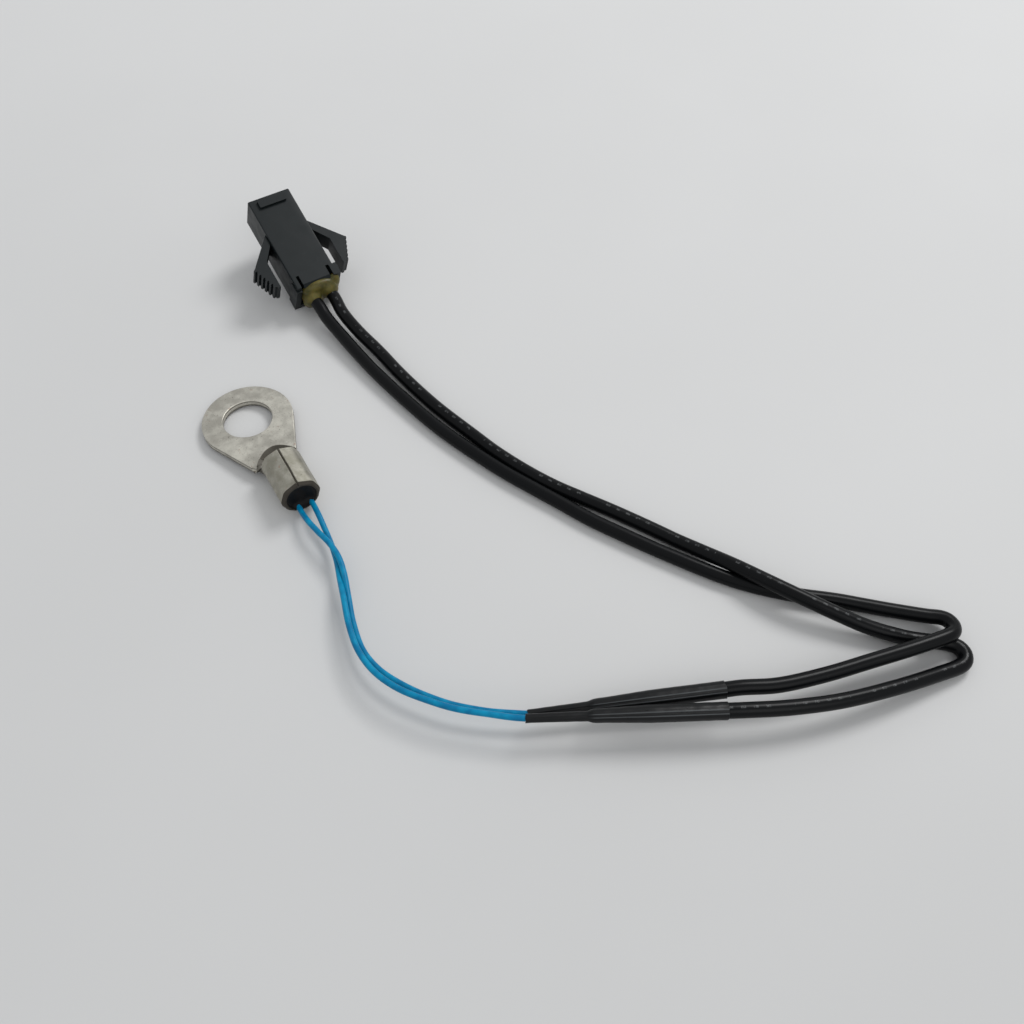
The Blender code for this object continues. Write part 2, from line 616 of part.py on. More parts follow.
def arm_outline():
    """A latch arm seen from above: a ramp out to the corner, then a wedge with grip ridges to the tip."""
    corner = Vector(ARM_CORNER)
    tip = Vector(ARM_TIP)
    root = PLUG_WIDTH / 2 - 2 * CLEARANCE
    run = (tip - corner) / ARM_RIDGES
    out = Vector((run.y, -run.x)).normalized() * RIDGE_HEIGHT
    outline = [(ARM_FRONT, root), tuple(corner)]
    for index in range(ARM_RIDGES):
        base = corner + run * index
        ridge = (base + out * 0.9 + run * 0.1, base + out + run * 0.5, base + run * 0.62)
        outline += [tuple(point) for point in ridge]
    outline += [tuple(tip), (tip.x, ARM_INSIDE), (ARM_WEDGE_START, ARM_INSIDE)]
    outline += [(ARM_FRONT - ARM_ROOT, root)]
    return outline


def build_plug_housing(parts, cutters, frame):
    """One moulding: body, wire-end flange, coding bar, contact cavities and two springy latch arms."""
    plastic = make_material("black_plastic", (0.02, 0.02, 0.022), 0.4)
    half = PLUG_WIDTH / 2
    mesh = box_mesh("plug_housing", (0, -half, 0), (PLUG_LENGTH, half, PLUG_HEIGHT))
    body = add_object("plug_housing", mesh, parts, frame, plastic)
    bevel = body.modifiers.new("Edges", "BEVEL")
    bevel.width = BODY_EDGE
    bevel.segments = 2
    left = arm_outline()
    right = [(x, -y) for x, y in reversed(left)]
    for name, outline in (("left_arm", left), ("right_arm", right)):
        mesh = outline_mesh(name, [outline], ARM_BOTTOM, ARM_TOP)
        add_boolean(body, add_cutter(name, mesh, cutters, frame), "UNION")
    lip = half + FLANGE_LIP
    top = PLUG_HEIGHT - FLANGE_STEP
    inner = SLOT_ACROSS + SLOT_WIDTH / 2
    bar = PLUG_LENGTH - BAR_BACK
    pads = [("flange", (-FLANGE_BACK, -lip, -FLANGE_DROP), (FLANGE_LENGTH, lip, top)),
            ("ear", (EAR_START, -half - EAR_OUT, PLUG_HEIGHT / 2),
             (EAR_START + EAR_LENGTH, -inner, PLUG_HEIGHT + EAR_RISE)),
            ("coding_bar", (bar - BAR_LENGTH, -BAR_HALF_WIDTH, top),
             (bar, BAR_HALF_WIDTH, PLUG_HEIGHT + BAR_HEIGHT))]
    for name, low, high in pads:
        add_boolean(body, add_cutter(name, box_mesh(name, low, high), cutters, frame), "UNION")
    middle = PLUG_HEIGHT / 2
    cuts = [("wire_mouth", (-1 * MM, -MOUTH_HALF_WIDTH, MOUTH_LOW),
             (MOUTH_RUN, MOUTH_HALF_WIDTH, MOUTH_HIGH))]
    for side, name in ((1, "a"), (-1, "b")):
        across = side * PITCH / 2
        wide = CAVITY_WIDTH / 2
        cuts.append(("cavity_" + name, (1.0 * MM, across - wide, middle - CAVITY_HEIGHT / 2),
                     (PLUG_LENGTH - NOSE_WALL, across + wide, middle + CAVITY_HEIGHT / 2)))
        pin = PIN_HOLE / 2
        cuts.append(("pin_hole_" + name, (PLUG_LENGTH - 2 * MM, across - pin, middle - pin),
                     (PLUG_LENGTH + 1 * MM, across + pin, middle + pin)))
        slot = side * SLOT_ACROSS
        cuts.append(("rear_slot_" + name, (-1 * MM, slot - SLOT_WIDTH / 2, PLUG_HEIGHT - SLOT_DEPTH),
                     (SLOT_LENGTH, slot + SLOT_WIDTH / 2, PLUG_HEIGHT + 1 * MM)))
    for name, low, high in cuts:
        add_boolean(body, add_cutter(name, box_mesh(name, low, high), cutters, frame), "DIFFERENCE")
    across = SLOT_ACROSS - SLOT_WIDTH / 2 + CLEARANCE
    size = TONGUE_CHAMFER * math.sqrt(2)
    mesh = box_mesh("tongue_chamfer", (-size / 2, -across, -1 * MM), (size / 2, across, 1 * MM))
    chamfer = add_cutter("tongue_chamfer", mesh, cutters, frame)
    chamfer.location = (0.0, 0.0, PLUG_HEIGHT)
    chamfer.rotation_euler = (0.0, math.radians(45), 0.0)
    add_boolean(body, chamfer, "DIFFERENCE")


def build_contacts(parts, cutters, frame):
    """Crimp sockets: a box that takes the pin, a floor strip, and two crimps round the wire."""
    tin = make_material("tinned_brass", (0.62, 0.58, 0.5), 0.3, 1.0)
    middle = PLUG_HEIGHT / 2
    for side, name in ((1, "a"), (-1, "b")):
        across = side * PITCH / 2
        low = middle - SOCKET_LOW
        box = box_mesh("socket_contact_" + name, (SOCKET_START, across - SOCKET_HALF_WIDTH, low),
                       (SOCKET_END, across + SOCKET_HALF_WIDTH, middle + SOCKET_HIGH))
        contact = add_object("socket_contact_" + name, box, parts, frame, tin)
        strip = box_mesh("strip_" + name, (STRIP_START, across - STRIP_HALF_WIDTH, low),
                         (SOCKET_START + SOCKET_WALL, across + STRIP_HALF_WIDTH, low + STRIP_SHEET))
        start, end, radius = WIRE_CRIMP
        crimp = cylinder_between("wire_crimp_" + name, (start, across, middle - CRIMP_DROP),
                                 (end, across, middle - CRIMP_DROP), radius, 12)
        start, end, radius = GRIP_CRIMP
        grip = cylinder_between("grip_crimp_" + name, (start, across, middle), (end, across, middle),
                                radius, 20)
        for label, mesh in (("strip_", strip), ("wire_crimp_", crimp), ("grip_crimp_", grip)):
            add_boolean(contact, add_cutter(label + name, mesh, cutters, frame), "UNION")
        inside = SOCKET_HALF_WIDTH - SOCKET_WALL
        pocket = box_mesh("pin_pocket_" + name,
                          (SOCKET_START + SOCKET_WALL, across - inside, low + SOCKET_WALL),
                          (SOCKET_END + 1 * MM, across + inside, middle + SOCKET_HIGH - SOCKET_WALL))
        seat = cylinder_between("lead_seat_" + name, (1 * MM, across, middle), (LEAD_SEAT, across, middle),
                                BLACK_RADIUS + 0.8 * CLEARANCE, 20)
        for label, mesh in (("pin_pocket_", pocket), ("lead_seat_", seat)):
            add_boolean(contact, add_cutter(label + name, mesh, cutters, frame), "DIFFERENCE")


def build_glue(parts, cutters, frame):
    """The blob of glue that fills the housing's wire mouth round the two leads."""
    amber = make_material("amber_glue", (0.32, 0.25, 0.04), 0.35)
    mesh = box_mesh("wire_end_glue", (-GLUE_BACK, -GLUE_HALF_WIDTH, GLUE_LOW),
                    (GLUE_DEPTH, GLUE_HALF_WIDTH, GLUE_HIGH))
    glue = add_object("wire_end_glue", mesh, parts, frame, amber)
    bevel = glue.modifiers.new("Round", "BEVEL")
    bevel.width = GLUE_ROUND
    bevel.segments = 4
    for side, name, thick in ((1, "a", BLACK_A_ROUTE), (-1, "b", BLACK_B_ROUTE)):
        points = [Vector(point) * MM for point in thick[-3:]]
        points += [plug_point(along, side * PITCH / 2, PLUG_HEIGHT / 2) for along in BLACK_INTO_PLUG]
        route = smooth_route(points, BLACK_SPACING / 2)
        bore = curve_to_mesh(tube_curve("lead_bore_" + name, route, BLACK_RADIUS + GLUE_CLEARANCE))
        bore.transform(plug_matrix().inverted())
        add_boolean(glue, add_cutter("lead_bore_" + name, bore, cutters, frame), "DIFFERENCE")
    shade(glue)


def main():
    clear_scene()
    parts = new_collection("bead_thermistor")
    cutters = new_collection("cutters")
    lug_frame = add_object("lug_frame", None, parts)
    lug_frame.matrix_world = lug_matrix()
    plug_frame = add_object("plug_frame", None, parts)
    plug_frame.matrix_world = plug_matrix()
    build_ring_terminal(parts, cutters, lug_frame)
    build_potting(parts, cutters, lug_frame)
    build_bead(parts, lug_frame)
    build_splices(parts)
    build_leads(parts)
    build_plug_housing(parts, cutters, plug_frame)
    build_contacts(parts, cutters, plug_frame)
    build_glue(parts, cutters, plug_frame)


main()
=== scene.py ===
from math import atan2, cos, hypot, pi, radians, sin

import bmesh
import bpy
import numpy as np
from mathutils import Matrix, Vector


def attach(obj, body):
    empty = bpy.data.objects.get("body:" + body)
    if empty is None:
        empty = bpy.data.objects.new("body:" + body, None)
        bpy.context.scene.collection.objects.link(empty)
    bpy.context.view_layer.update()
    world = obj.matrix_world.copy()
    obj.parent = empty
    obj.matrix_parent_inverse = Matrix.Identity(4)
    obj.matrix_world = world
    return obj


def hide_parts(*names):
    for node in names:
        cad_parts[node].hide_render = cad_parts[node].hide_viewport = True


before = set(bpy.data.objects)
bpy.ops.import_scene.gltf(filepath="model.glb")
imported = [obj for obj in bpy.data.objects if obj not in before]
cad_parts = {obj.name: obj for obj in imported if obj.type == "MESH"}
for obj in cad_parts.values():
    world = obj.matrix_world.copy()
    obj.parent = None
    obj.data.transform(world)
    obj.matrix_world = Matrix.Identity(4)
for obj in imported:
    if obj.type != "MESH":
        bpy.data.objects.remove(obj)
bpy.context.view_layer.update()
mm = 0.001
tableGap = 0.02 * mm  # kept between the table and what lies on it
print("frame loaded")


view = {
    "lens": 37.72, "sensor": 36.0, "nearest": 0.005,
    "place": (-0.09103, 0.01469, 0.110), "lookDown": 35.0, "turn": -119.6,
    "keyLight": {"power": 1.35, "size": 0.22, "place": (0.10, -0.36, 0.42)},
    "fillLight": {"power": 0.35, "size": 0.35, "place": (-0.40, -0.05, 0.35)},
    "lampTarget": (-0.02, -0.02, 0.0),
    "worldColour": (0.97, 0.985, 1.0), "worldLight": 0.62,
}


def addCamera():
    data = bpy.data.cameras.new("camera")
    data.lens = view["lens"]
    data.sensor_width = view["sensor"]
    data.clip_start = view["nearest"]
    camera = bpy.data.objects.new("camera", data)
    bpy.context.scene.collection.objects.link(camera)
    camera.location = view["place"]
    camera.rotation_euler = (radians(view["lookDown"]), 0, radians(view["turn"]))
    bpy.context.scene.camera = camera


def addLamp(name):
    facts = view[name]
    data = bpy.data.lights.new(name, "AREA")
    data.energy = facts["power"]
    data.shape = "DISK"
    data.size = facts["size"]
    lamp = bpy.data.objects.new(name, data)
    bpy.context.scene.collection.objects.link(lamp)
    lamp.location = facts["place"]
    fromTarget = Vector(facts["place"]) - Vector(view["lampTarget"])
    lamp.rotation_euler = fromTarget.to_track_quat("Z", "Y").to_euler()


def addWorld():
    world = bpy.data.worlds.new("studio")
    bpy.context.scene.world = world
    world.use_nodes = True
    background = world.node_tree.nodes["Background"]
    background.inputs["Color"].default_value = (*view["worldColour"], 1.0)
    background.inputs["Strength"].default_value = view["worldLight"]


class Wire:
    # wraps one output socket: sums and products of wires add their Math nodes
    def __init__(self, tree, socket=None):
        self.tree = tree
        self.socket = socket

    def node(self, kind, settings=None, inputs=None, output=0):
        made = self.tree.nodes.new(kind)
        for name, value in (settings or {}).items():
            setattr(made, name, value)
        for name, value in (inputs or {}).items():
            if isinstance(value, Wire):
                self.tree.links.new(value.socket, made.inputs[name])
            else:
                made.inputs[name].default_value = value
        return Wire(self.tree, made.outputs[output])

    def maths(self, operation, *values):
        return self.node("ShaderNodeMath", {"operation": operation}, dict(enumerate(values)))

    def __add__(self, other):
        return self.maths("ADD", self, other)

    def __sub__(self, other):
        return self.maths("SUBTRACT", self, other)

    def __rsub__(self, other):
        return self.maths("SUBTRACT", other, self)

    def __mul__(self, other):
        return self.maths("MULTIPLY", self, other)

    def __truediv__(self, other):
        return self.maths("DIVIDE", self, other)

    __radd__ = __add__
    __rmul__ = __mul__

    def __abs__(self):
        return self.maths("ABSOLUTE", self)

    def fract(self):
        return self.maths("FRACT", self)

    def clip(self, low, high):
        lower = self.maths("MINIMUM", self, high)
        return lower.maths("MAXIMUM", lower, low)

    def ramp(self, low, high):
        # smooth step from 0 at low to 1 at high
        settings = {"interpolation_type": "SMOOTHSTEP"}
        return self.node("ShaderNodeMapRange", settings, {"Value": self, "From Min": low, "From Max": high})

    def mix(self, first, second):
        # this wire picks between two colours
        first, second = ((*c, 1.0) if isinstance(c, tuple) else c for c in (first, second))
        return self.node("ShaderNodeMix", {"data_type": "RGBA"}, {0: self, 6: first, 7: second}, 2)

    def axis(self, number):
        # this wire holds a vector, and 0, 1 or 2 picks X, Y or Z
        return self.node("ShaderNodeSeparateXYZ", {}, {0: self}, number)

    def stretch(self, *factors):
        return self.node("ShaderNodeVectorMath", {"operation": "MULTIPLY"}, {0: self, 1: factors})

    def noise(self, scale, detail, rough):
        # this wire holds coordinates
        inputs = {"Vector": self, "Scale": scale, "Detail": detail, "Roughness": rough}
        return self.node("ShaderNodeTexNoise", {}, inputs)

    def patches(self, scale, detail, rough, low, high):
        # noise that fades in between two of its levels
        return self.noise(scale, detail, rough).ramp(low, high)


def startMaterial(name):
    # the material and the coordinates of the object that wears it
    material = bpy.data.materials.new(name)
    material.use_nodes = True
    return material, Wire(material.node_tree).node("ShaderNodeTexCoord", output="Object")


def uvOf(material):
    return Wire(material.node_tree).node("ShaderNodeUVMap", {"uv_map": "UVMap"})


def setShader(material, colour, roughness, metallic=0.0, bump=None, bumpHeight=0.0, constants=None):
    tree = material.node_tree
    values = {"Base Color": colour, "Roughness": roughness, "Metallic": metallic, **(constants or {})}
    if bump is not None:
        inputs = {"Height": bump, "Distance": bumpHeight, "Strength": 1.0}
        values["Normal"] = bump.node("ShaderNodeBump", {}, inputs)
    sockets = tree.nodes["Principled BSDF"].inputs
    for name, value in values.items():
        if isinstance(value, Wire):
            tree.links.new(value.socket, sockets[name])
        else:
            sockets[name].default_value = value
    return material


def gridMesh(name, grid, wrapRows=False, rowMarks=None):
    # quads between neighbouring points of a grid that closes round its columns; the two ends are closed by
    # flat faces, unless the rows close too; u is the row's mark and v the share of the way round
    rows, columns = grid.shape[:2]
    index = np.arange(rows * columns).reshape(rows, columns)
    index = np.hstack([index, index[:, :1]])
    marks = np.linspace(0, 1, rows) if rowMarks is None else np.asarray(rowMarks, dtype=float)
    if wrapRows:
        index = np.vstack([index, index[:1]])
        marks = np.append(marks, 2 * marks[-1] - marks[-2])
    quads = np.stack([index[:-1, :-1], index[:-1, 1:], index[1:, 1:], index[1:, :-1]], axis=-1)
    quads = quads.reshape(-1, 4)
    uv = np.stack(np.meshgrid(marks, np.linspace(0, 1, columns + 1), indexing="ij"), axis=-1)
    corners = np.stack([uv[:-1, :-1], uv[:-1, 1:], uv[1:, 1:], uv[1:, :-1]], axis=2).reshape(-1, 2)
    loops = quads.ravel()
    sizes = np.full(len(quads), 4)
    points = grid.reshape(-1, 3)
    a, b, c, d = (points[quads[:, corner]] for corner in range(4))
    volume = np.sum(a * np.cross(b, c)) + np.sum(a * np.cross(c, d))
    if not wrapRows:
        loops = np.concatenate([loops, index[0, -2::-1], index[-1, :-1]])
        sizes = np.append(sizes, [columns, columns])
        corners = np.vstack([corners, np.full((2 * columns, 2), marks[0])])
    starts = np.concatenate([[0], np.cumsum(sizes)[:-1]])
    mesh = bpy.data.meshes.new(name)
    mesh.vertices.add(len(points))
    mesh.vertices.foreach_set("co", points.ravel())
    mesh.loops.add(len(loops))
    mesh.loops.foreach_set("vertex_index", loops)
    mesh.polygons.add(len(sizes))
    mesh.polygons.foreach_set("loop_start", starts)
    mesh.update(calc_edges=True)
    mesh.uv_layers.new(name="UVMap").data.foreach_set("uv", corners.ravel())
    if volume < 0:
        mesh.flip_normals()
    mesh.validate()
    return mesh


def addPiece(mesh, material, node, angle=40):
    # the piece stands in for one node of the frame; edges sharper than the angle stay crisp
    piece = bpy.data.objects.new(mesh.name, mesh)
    bpy.context.scene.collection.objects.link(piece)
    mesh.materials.clear()
    mesh.materials.append(material)
    mesh.shade_smooth()
    mesh.set_sharp_from_angle(angle=radians(angle))
    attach(piece, "root")
    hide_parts(node)
    return piece


def smoothRoute(points, spacing, steps=40):
    # centripetal Catmull-Rom curve through the points, read again at an even spacing
    knots = np.array(points, dtype=float)
    knots = np.vstack([2 * knots[0] - knots[1], knots, 2 * knots[-1] - knots[-2]])
    p0, p1, p2, p3 = (knots[shift:len(knots) - 3 + shift, None, :] for shift in range(4))
    t1 = np.linalg.norm(p1 - p0, axis=2, keepdims=True) ** 0.5
    t2 = t1 + np.linalg.norm(p2 - p1, axis=2, keepdims=True) ** 0.5
    t3 = t2 + np.linalg.norm(p3 - p2, axis=2, keepdims=True) ** 0.5
    t = t1 + (t2 - t1) * np.linspace(0, 1, steps, endpoint=False)[None, :, None]
    a1 = (t1 - t) / t1 * p0 + t / t1 * p1
    a2 = (t2 - t) / (t2 - t1) * p1 + (t - t1) / (t2 - t1) * p2
    a3 = (t3 - t) / (t3 - t2) * p2 + (t - t2) / (t3 - t2) * p3
    b1 = (t2 - t) / t2 * a1 + t / t2 * a2
    b2 = (t3 - t) / (t3 - t1) * a2 + (t - t1) / (t3 - t1) * a3
    fine = ((t2 - t) / (t2 - t1) * b1 + (t - t1) / (t2 - t1) * b2).reshape(-1, 3)
    fine = np.vstack([fine, knots[-2]])
    run = np.concatenate([[0], np.cumsum(np.linalg.norm(np.diff(fine, axis=0), axis=1))])
    even = np.linspace(0, run[-1], round(run[-1] / spacing) + 1)
    return np.stack([np.interp(even, run, fine[:, axis]) for axis in range(3)], axis=1), even


def alongPath(path):
    # tangent, sideways and upward directions at each point of a path that never stands upright
    tangent = np.gradient(path, axis=0)
    tangent /= np.linalg.norm(tangent, axis=1, keepdims=True)
    sideways = np.cross(tangent, (0, 0, 1))
    sideways /= np.linalg.norm(sideways, axis=1, keepdims=True)
    return tangent, sideways, np.cross(sideways, tangent)


def tubeGrid(path, radius, turn):
    # rings round a path: point = centre + radius * (cos(turn) * sideways + sin(turn) * upward)
    _, sideways, upward = alongPath(path)
    across = np.cos(turn)[None, :, None] * sideways[:, None] + np.sin(turn)[None, :, None] * upward[:, None]
    return path[:, None] + radius[..., None] * across


def smoothstep(value):
    value = np.clip(value, 0, 1)
    return value * value * (3 - 2 * value)


def ripple(values, seed, waves=5):
    # sum of a few sines with seeded lengths and phases, from about -1 to 1
    random = np.random.default_rng(seed)
    lengths, phases = random.uniform(0.6, 2.4, waves), random.uniform(0, 2 * pi, waves)
    return np.mean([np.sin(values * length + phase) for length, phase in zip(lengths, phases)], axis=0)


# millimetres and degrees; what lies along the lug is counted from the hole's centre to the barrel
lug = {
    "ringRadius": 6.0, "holeRadius": 3.25, "sheet": 1.0, "topEdge": 0.10, "underEdge": 0.22,
    "neckHalfWidth": 3.05, "neckEnd": 8.3, "leanStart": 2.0, "lean": -0.45,
    "bowlStart": 6.25, "bowlHalfWidth": 2.6, "bowlSweep": 1.8, "sinkRun": 0.75, "drop": 0.9,
    "curlEnd": 9.0, "curlGap": 0.02, "lap": 1.2,
    "barrelFront": 9.1, "barrelLength": 7.5, "barrelRadius": 2.45, "offset": -0.95,
    "frontSlant": 0.8, "rim": 0.1, "rearBevel": (0.36, 0.28), "corner": 0.11, "dents": 0.02,
    "mouthProfile": ((0.0, 2.0), (0.06, 1.98), (0.6, 1.65)),  # depth in the rear mouth, radius
    "seamDepth": 0.3, "seamHalfAngle": 3.2, "seamLip": 0.04, "seamWander": 0.5, "seamWave": 1.7,
    "turns": 240, "flatRows": 62, "barrelTurns": 256, "barrelRows": 60, "boreRows": 12, "keepSharp": 32,
}
lugTilt = atan2(lug["drop"], lug["ringRadius"] + lug["barrelFront"])
lugMiddle = (lug["ringRadius"] - lug["barrelFront"] - lug["barrelLength"]) / 2 * cos(lugTilt)
barrelMiddle = lug["barrelRadius"] - lug["drop"]


def lugToRow(points):
    # lug frame (along, across, up from the hole's centre) tilted about Y and set on the table
    c, s = cos(lugTilt), sin(lugTilt)
    turn = np.array([[c, 0, s], [0, 1, 0], [-s, 0, c]])
    middle = lugMiddle + (lug["sheet"] - lug["drop"]) / 2 * s
    return (points @ turn.T + (-middle, 0, lug["ringRadius"] * s)) * mm


# millimetres and degrees
plug = {
    "width": 6.4, "height": 5.2, "pitch": 2.5, "yaw": 3.2, "noseUp": 22.0, "roll": 3.0,
    "place": (22.4, -17.0), "tableGap": 0.05, "flangeLip": 0.15, "flangeDrop": 0.1, "flangeBack": 0.3,
    "mergeWithin": 0.001, "flatWithin": 1.5, "edge": 0.07, "edgeAngle": 30,
}


def plugToRow(points):
    # plug frame (along from the wire end, across, up) rolled, pitched, turned and set on its lowest corner
    y, p, r = radians(plug["yaw"]), -radians(plug["noseUp"]), radians(plug["roll"])
    aboutZ = np.array([[cos(y), -sin(y), 0], [sin(y), cos(y), 0], [0, 0, 1]])
    aboutY = np.array([[cos(p), 0, sin(p)], [0, 1, 0], [-sin(p), 0, cos(p)]])
    aboutX = np.array([[1, 0, 0], [0, cos(r), -sin(r)], [0, sin(r), cos(r)]])
    turn = aboutZ @ aboutY @ aboutX
    half = plug["width"] / 2 + plug["flangeLip"]
    lowest = min((turn @ (-plug["flangeBack"], side * half, -plug["flangeDrop"]))[2] for side in (-1, 1))
    return (np.asarray(points, dtype=float) @ turn.T + (*plug["place"], plug["tableGap"] - lowest)) * mm


# millimetres; the folds are in degrees, their width and bend in radians
sleeves = {
    "a": {"start": (-49.5, -10.9, 2.2), "end": (-57.9, -30.9, 2.9), "seed": 3},
    "b": {"start": (-50.35, -10.1, 3.6), "end": (-60.3, -29.4, 3.6), "seed": 8},
    # distance from the sleeve's start, outer radius
    "profile": ((0.0, 0.52), (0.5, 0.50), (3.4, 0.53), (6.6, 0.56), (6.85, 0.64), (7.1, 0.74), (7.6, 0.77),
                (9.0, 0.80), (10.6, 0.86), (12.4, 0.93), (13.2, 0.97), (16.0, 0.985), (21.0, 0.99),
                (21.66, 1.0)),
    "wall": 0.12, "lip": 0.03, "rows": ((0, 6.4, 40), (6.5, 8.0, 20), (8.2, 21.66, 70)), "turns": 96,
    "easedOver": 7, "creases": 0.018, "folds": (48, 74, 240), "foldHeight": 3.6, "foldWidth": 0.10,
    "foldBend": 0.03, "ragged": 0.12, "raggedRun": 0.6,
}


def sleeveAxis(name):
    # start and direction of a sleeve's straight axis
    start, end = (np.array(sleeves[name][key]) for key in ("start", "end"))
    return start, (end - start) / np.linalg.norm(end - start)


def makeSleeve(name, material):
    # profile of radius over length turned about a straight axis, out along the outer side and back inside;
    # the outer side sags into shallow lengthwise creases between a few sharp folds, and its ends are wavy
    seed = sleeves[name]["seed"]
    runs, radii = np.array(sleeves["profile"]).T
    fine = np.concatenate([np.linspace(*part) for part in sleeves["rows"]])
    kernel = np.hanning(sleeves["easedOver"])
    padded = np.pad(np.interp(fine, runs, radii), len(kernel) // 2, mode="edge")
    outer = np.convolve(padded, kernel / kernel.sum(), mode="valid")
    turn = np.linspace(0, 2 * pi, sleeves["turns"], endpoint=False)
    crease = ripple(turn[None, :] * 3 + 0.18 * fine[:, None], seed)
    crease = crease + 0.6 * ripple(fine[:, None] * 1.9 + np.cos(turn)[None, :] * 1.4, seed + 1)
    bend = sleeves["foldBend"] * ripple(fine / 2.5, seed + 3)[:, None]
    for fold in sleeves["folds"]:
        away = (turn - radians(fold) - bend) / sleeves["foldWidth"]
        crease = crease + sleeves["foldHeight"] * np.exp(-away ** 2) * outer[:, None]
    outerRadius = outer[:, None] + sleeves["creases"] * crease
    innerRadius = outerRadius - sleeves["wall"]
    atEnds = np.clip(1 - np.minimum(fine, fine[-1] - fine) / sleeves["raggedRun"], 0, 1)[:, None]
    along = fine[:, None] + atEnds * sleeves["ragged"] * ripple(turn[None, :] * 2, seed + 2)
    lip = sleeves["lip"]
    grid = np.concatenate([
        np.stack([along, outerRadius], axis=-1),
        np.stack([along[-1:] + lip, (outerRadius[-1:] + innerRadius[-1:]) / 2], axis=-1),
        np.stack([along[::-1], innerRadius[::-1]], axis=-1),
        np.stack([along[:1] - lip, (outerRadius[:1] + innerRadius[:1]) / 2], axis=-1),
    ])
    start, axis = sleeveAxis(name)
    sideways = np.cross(axis, (0, 0, 1))
    sideways /= np.linalg.norm(sideways)
    upward = np.cross(sideways, axis)
    across = np.cos(turn)[:, None] * sideways + np.sin(turn)[:, None] * upward
    points = (start + grid[..., :1] * axis + grid[..., 1:] * across[None]) * mm
    label = "heatshrink_sleeve_" + name
    marks = np.concatenate([fine, [fine[-1] + 0.1], fine[::-1], [-0.1]])
    mesh = gridMesh(label + "_skin", points, wrapRows=True, rowMarks=marks)
    return addPiece(mesh, material, label)


# millimetres; the free points of each route are listed
leads = {
    "blueRadius": 0.36, "blackRadius": 0.88, "blueTurns": 16, "blackTurns": 24, "spacing": 0.3,
    "swell": 0.008, "swellRun": 2.5,  # share of the radius, length of a wave
    # how far each blue lead is drawn to the other, how far from its ends that starts and how fast it fades in
    "draw": 0.14, "drawAfter": 8.0, "drawUntil": 8.5, "drawFade": 4.0,
    # in the potting: where the leads start and leave it, half their gap, and how far they have fanned out,
    # moved aside and sunk where they leave it
    "pottedStart": 13.0, "pottedEnd": 16.6, "pottedPoints": 4, "pottedHalfGap": 0.5, "pottedFan": 0.35,
    "pottedAside": 0.15, "pottedBelow": 0.1, "pottedSink": 1.2,
    # points inside the sleeves, from the sleeve's start, and inside the plug, from its wire end
    "blueInSleeve": (0.2, 3.0, 7.8), "blackInSleeve": (13.5, 17.5, 21.6, 23.5), "inPlug": (0.4, 1.8, 3.3),
    "blueA": ((-14.2, -0.3, 2.2), (-16.4, -0.7, 2.4), (-18.7, -1.3, 2.6), (-21.0, -1.5, 2.5),
              (-23.5, -1.1, 2.3), (-26.3, -0.3, 2.0), (-29.9, 0.7, 2.0), (-33.6, 1.2, 2.1),
              (-36.6, 0.7, 2.2), (-39.4, -0.6, 2.3), (-42.2, -2.5, 2.3), (-45.0, -5.0, 2.3)),
    "blueB": ((-13.7, -1.85, 2.0), (-15.9, -1.7, 1.65), (-18.1, -1.4, 1.5), (-20.9, -0.9, 1.65),
              (-23.6, -0.15, 1.95), (-26.5, 0.6, 2.7), (-30.2, 1.6, 2.95), (-33.9, 2.1, 3.15),
              (-37.2, 1.7, 3.3), (-40.3, 0.4, 3.45), (-43.2, -1.7, 3.55), (-46.1, -4.4, 3.6)),
    "blackA": ((-60.3, -36.2, 2.85), (-61.8, -41.5, 2.7), (-63.0, -47.2, 2.6), (-64.2, -53.0, 2.6),
               (-64.8, -57.4, 2.4), (-64.54, -58.23, 2.15), (-63.85, -58.76, 1.9), (-62.97, -58.8, 1.7),
               (-62.32, -58.43, 1.55), (-61.4, -57.4, 1.35), (-58.5, -54.3, 1.05), (-54.7, -50.2, 0.85),
               (-50.6, -45.2, 0.8), (-46.2, -41.0, 0.8), (-39.5, -36.4, 0.8), (-34.3, -33.2, 0.82),
               (-30.05, -30.75, 0.85), (-26.2, -28.9, 0.9), (-22.4, -27.0, 0.95), (-18.4, -25.1, 0.95),
               (-8.65, -21.45, 0.95), (-2.2, -19.75, 1.0), (4.0, -18.4, 1.12), (8.0, -17.7, 1.3),
               (12.7, -17.0, 1.65), (16.6, -16.45, 2.15), (18.65, -16.35, 2.6)),
    "blackB": ((-63.1, -35.2, 3.4), (-65.2, -41.0, 2.9), (-66.7, -47.4, 2.2), (-67.7, -53.6, 1.35),
               (-68.05, -56.65, 1.0), (-67.79, -57.48, 0.92), (-67.1, -58.01, 0.86),
               (-66.22, -58.05, 0.82), (-65.57, -57.68, 0.8), (-64.6, -56.6, 0.8), (-62.9, -54.4, 0.85),
               (-59.4, -50.6, 1.5), (-56.2, -48.0, 2.2), (-52.6, -45.5, 2.75), (-49.1, -43.6, 2.65),
               (-45.1, -41.8, 2.05), (-41.3, -40.0, 1.3), (-37.2, -37.8, 0.85), (-31.2, -34.3, 0.8),
               (-27.1, -31.7, 0.8), (-23.65, -29.55, 0.8), (-19.7, -27.6, 0.8), (-15.3, -25.85, 0.8),
               (-11.9, -24.8, 0.8), (-4.6, -22.65, 0.9), (2.7, -21.1, 1.05), (7.7, -20.3, 1.3),
               (12.3, -19.35, 1.65), (16.4, -18.8, 2.15), (19.5, -18.9, 2.6)),
}


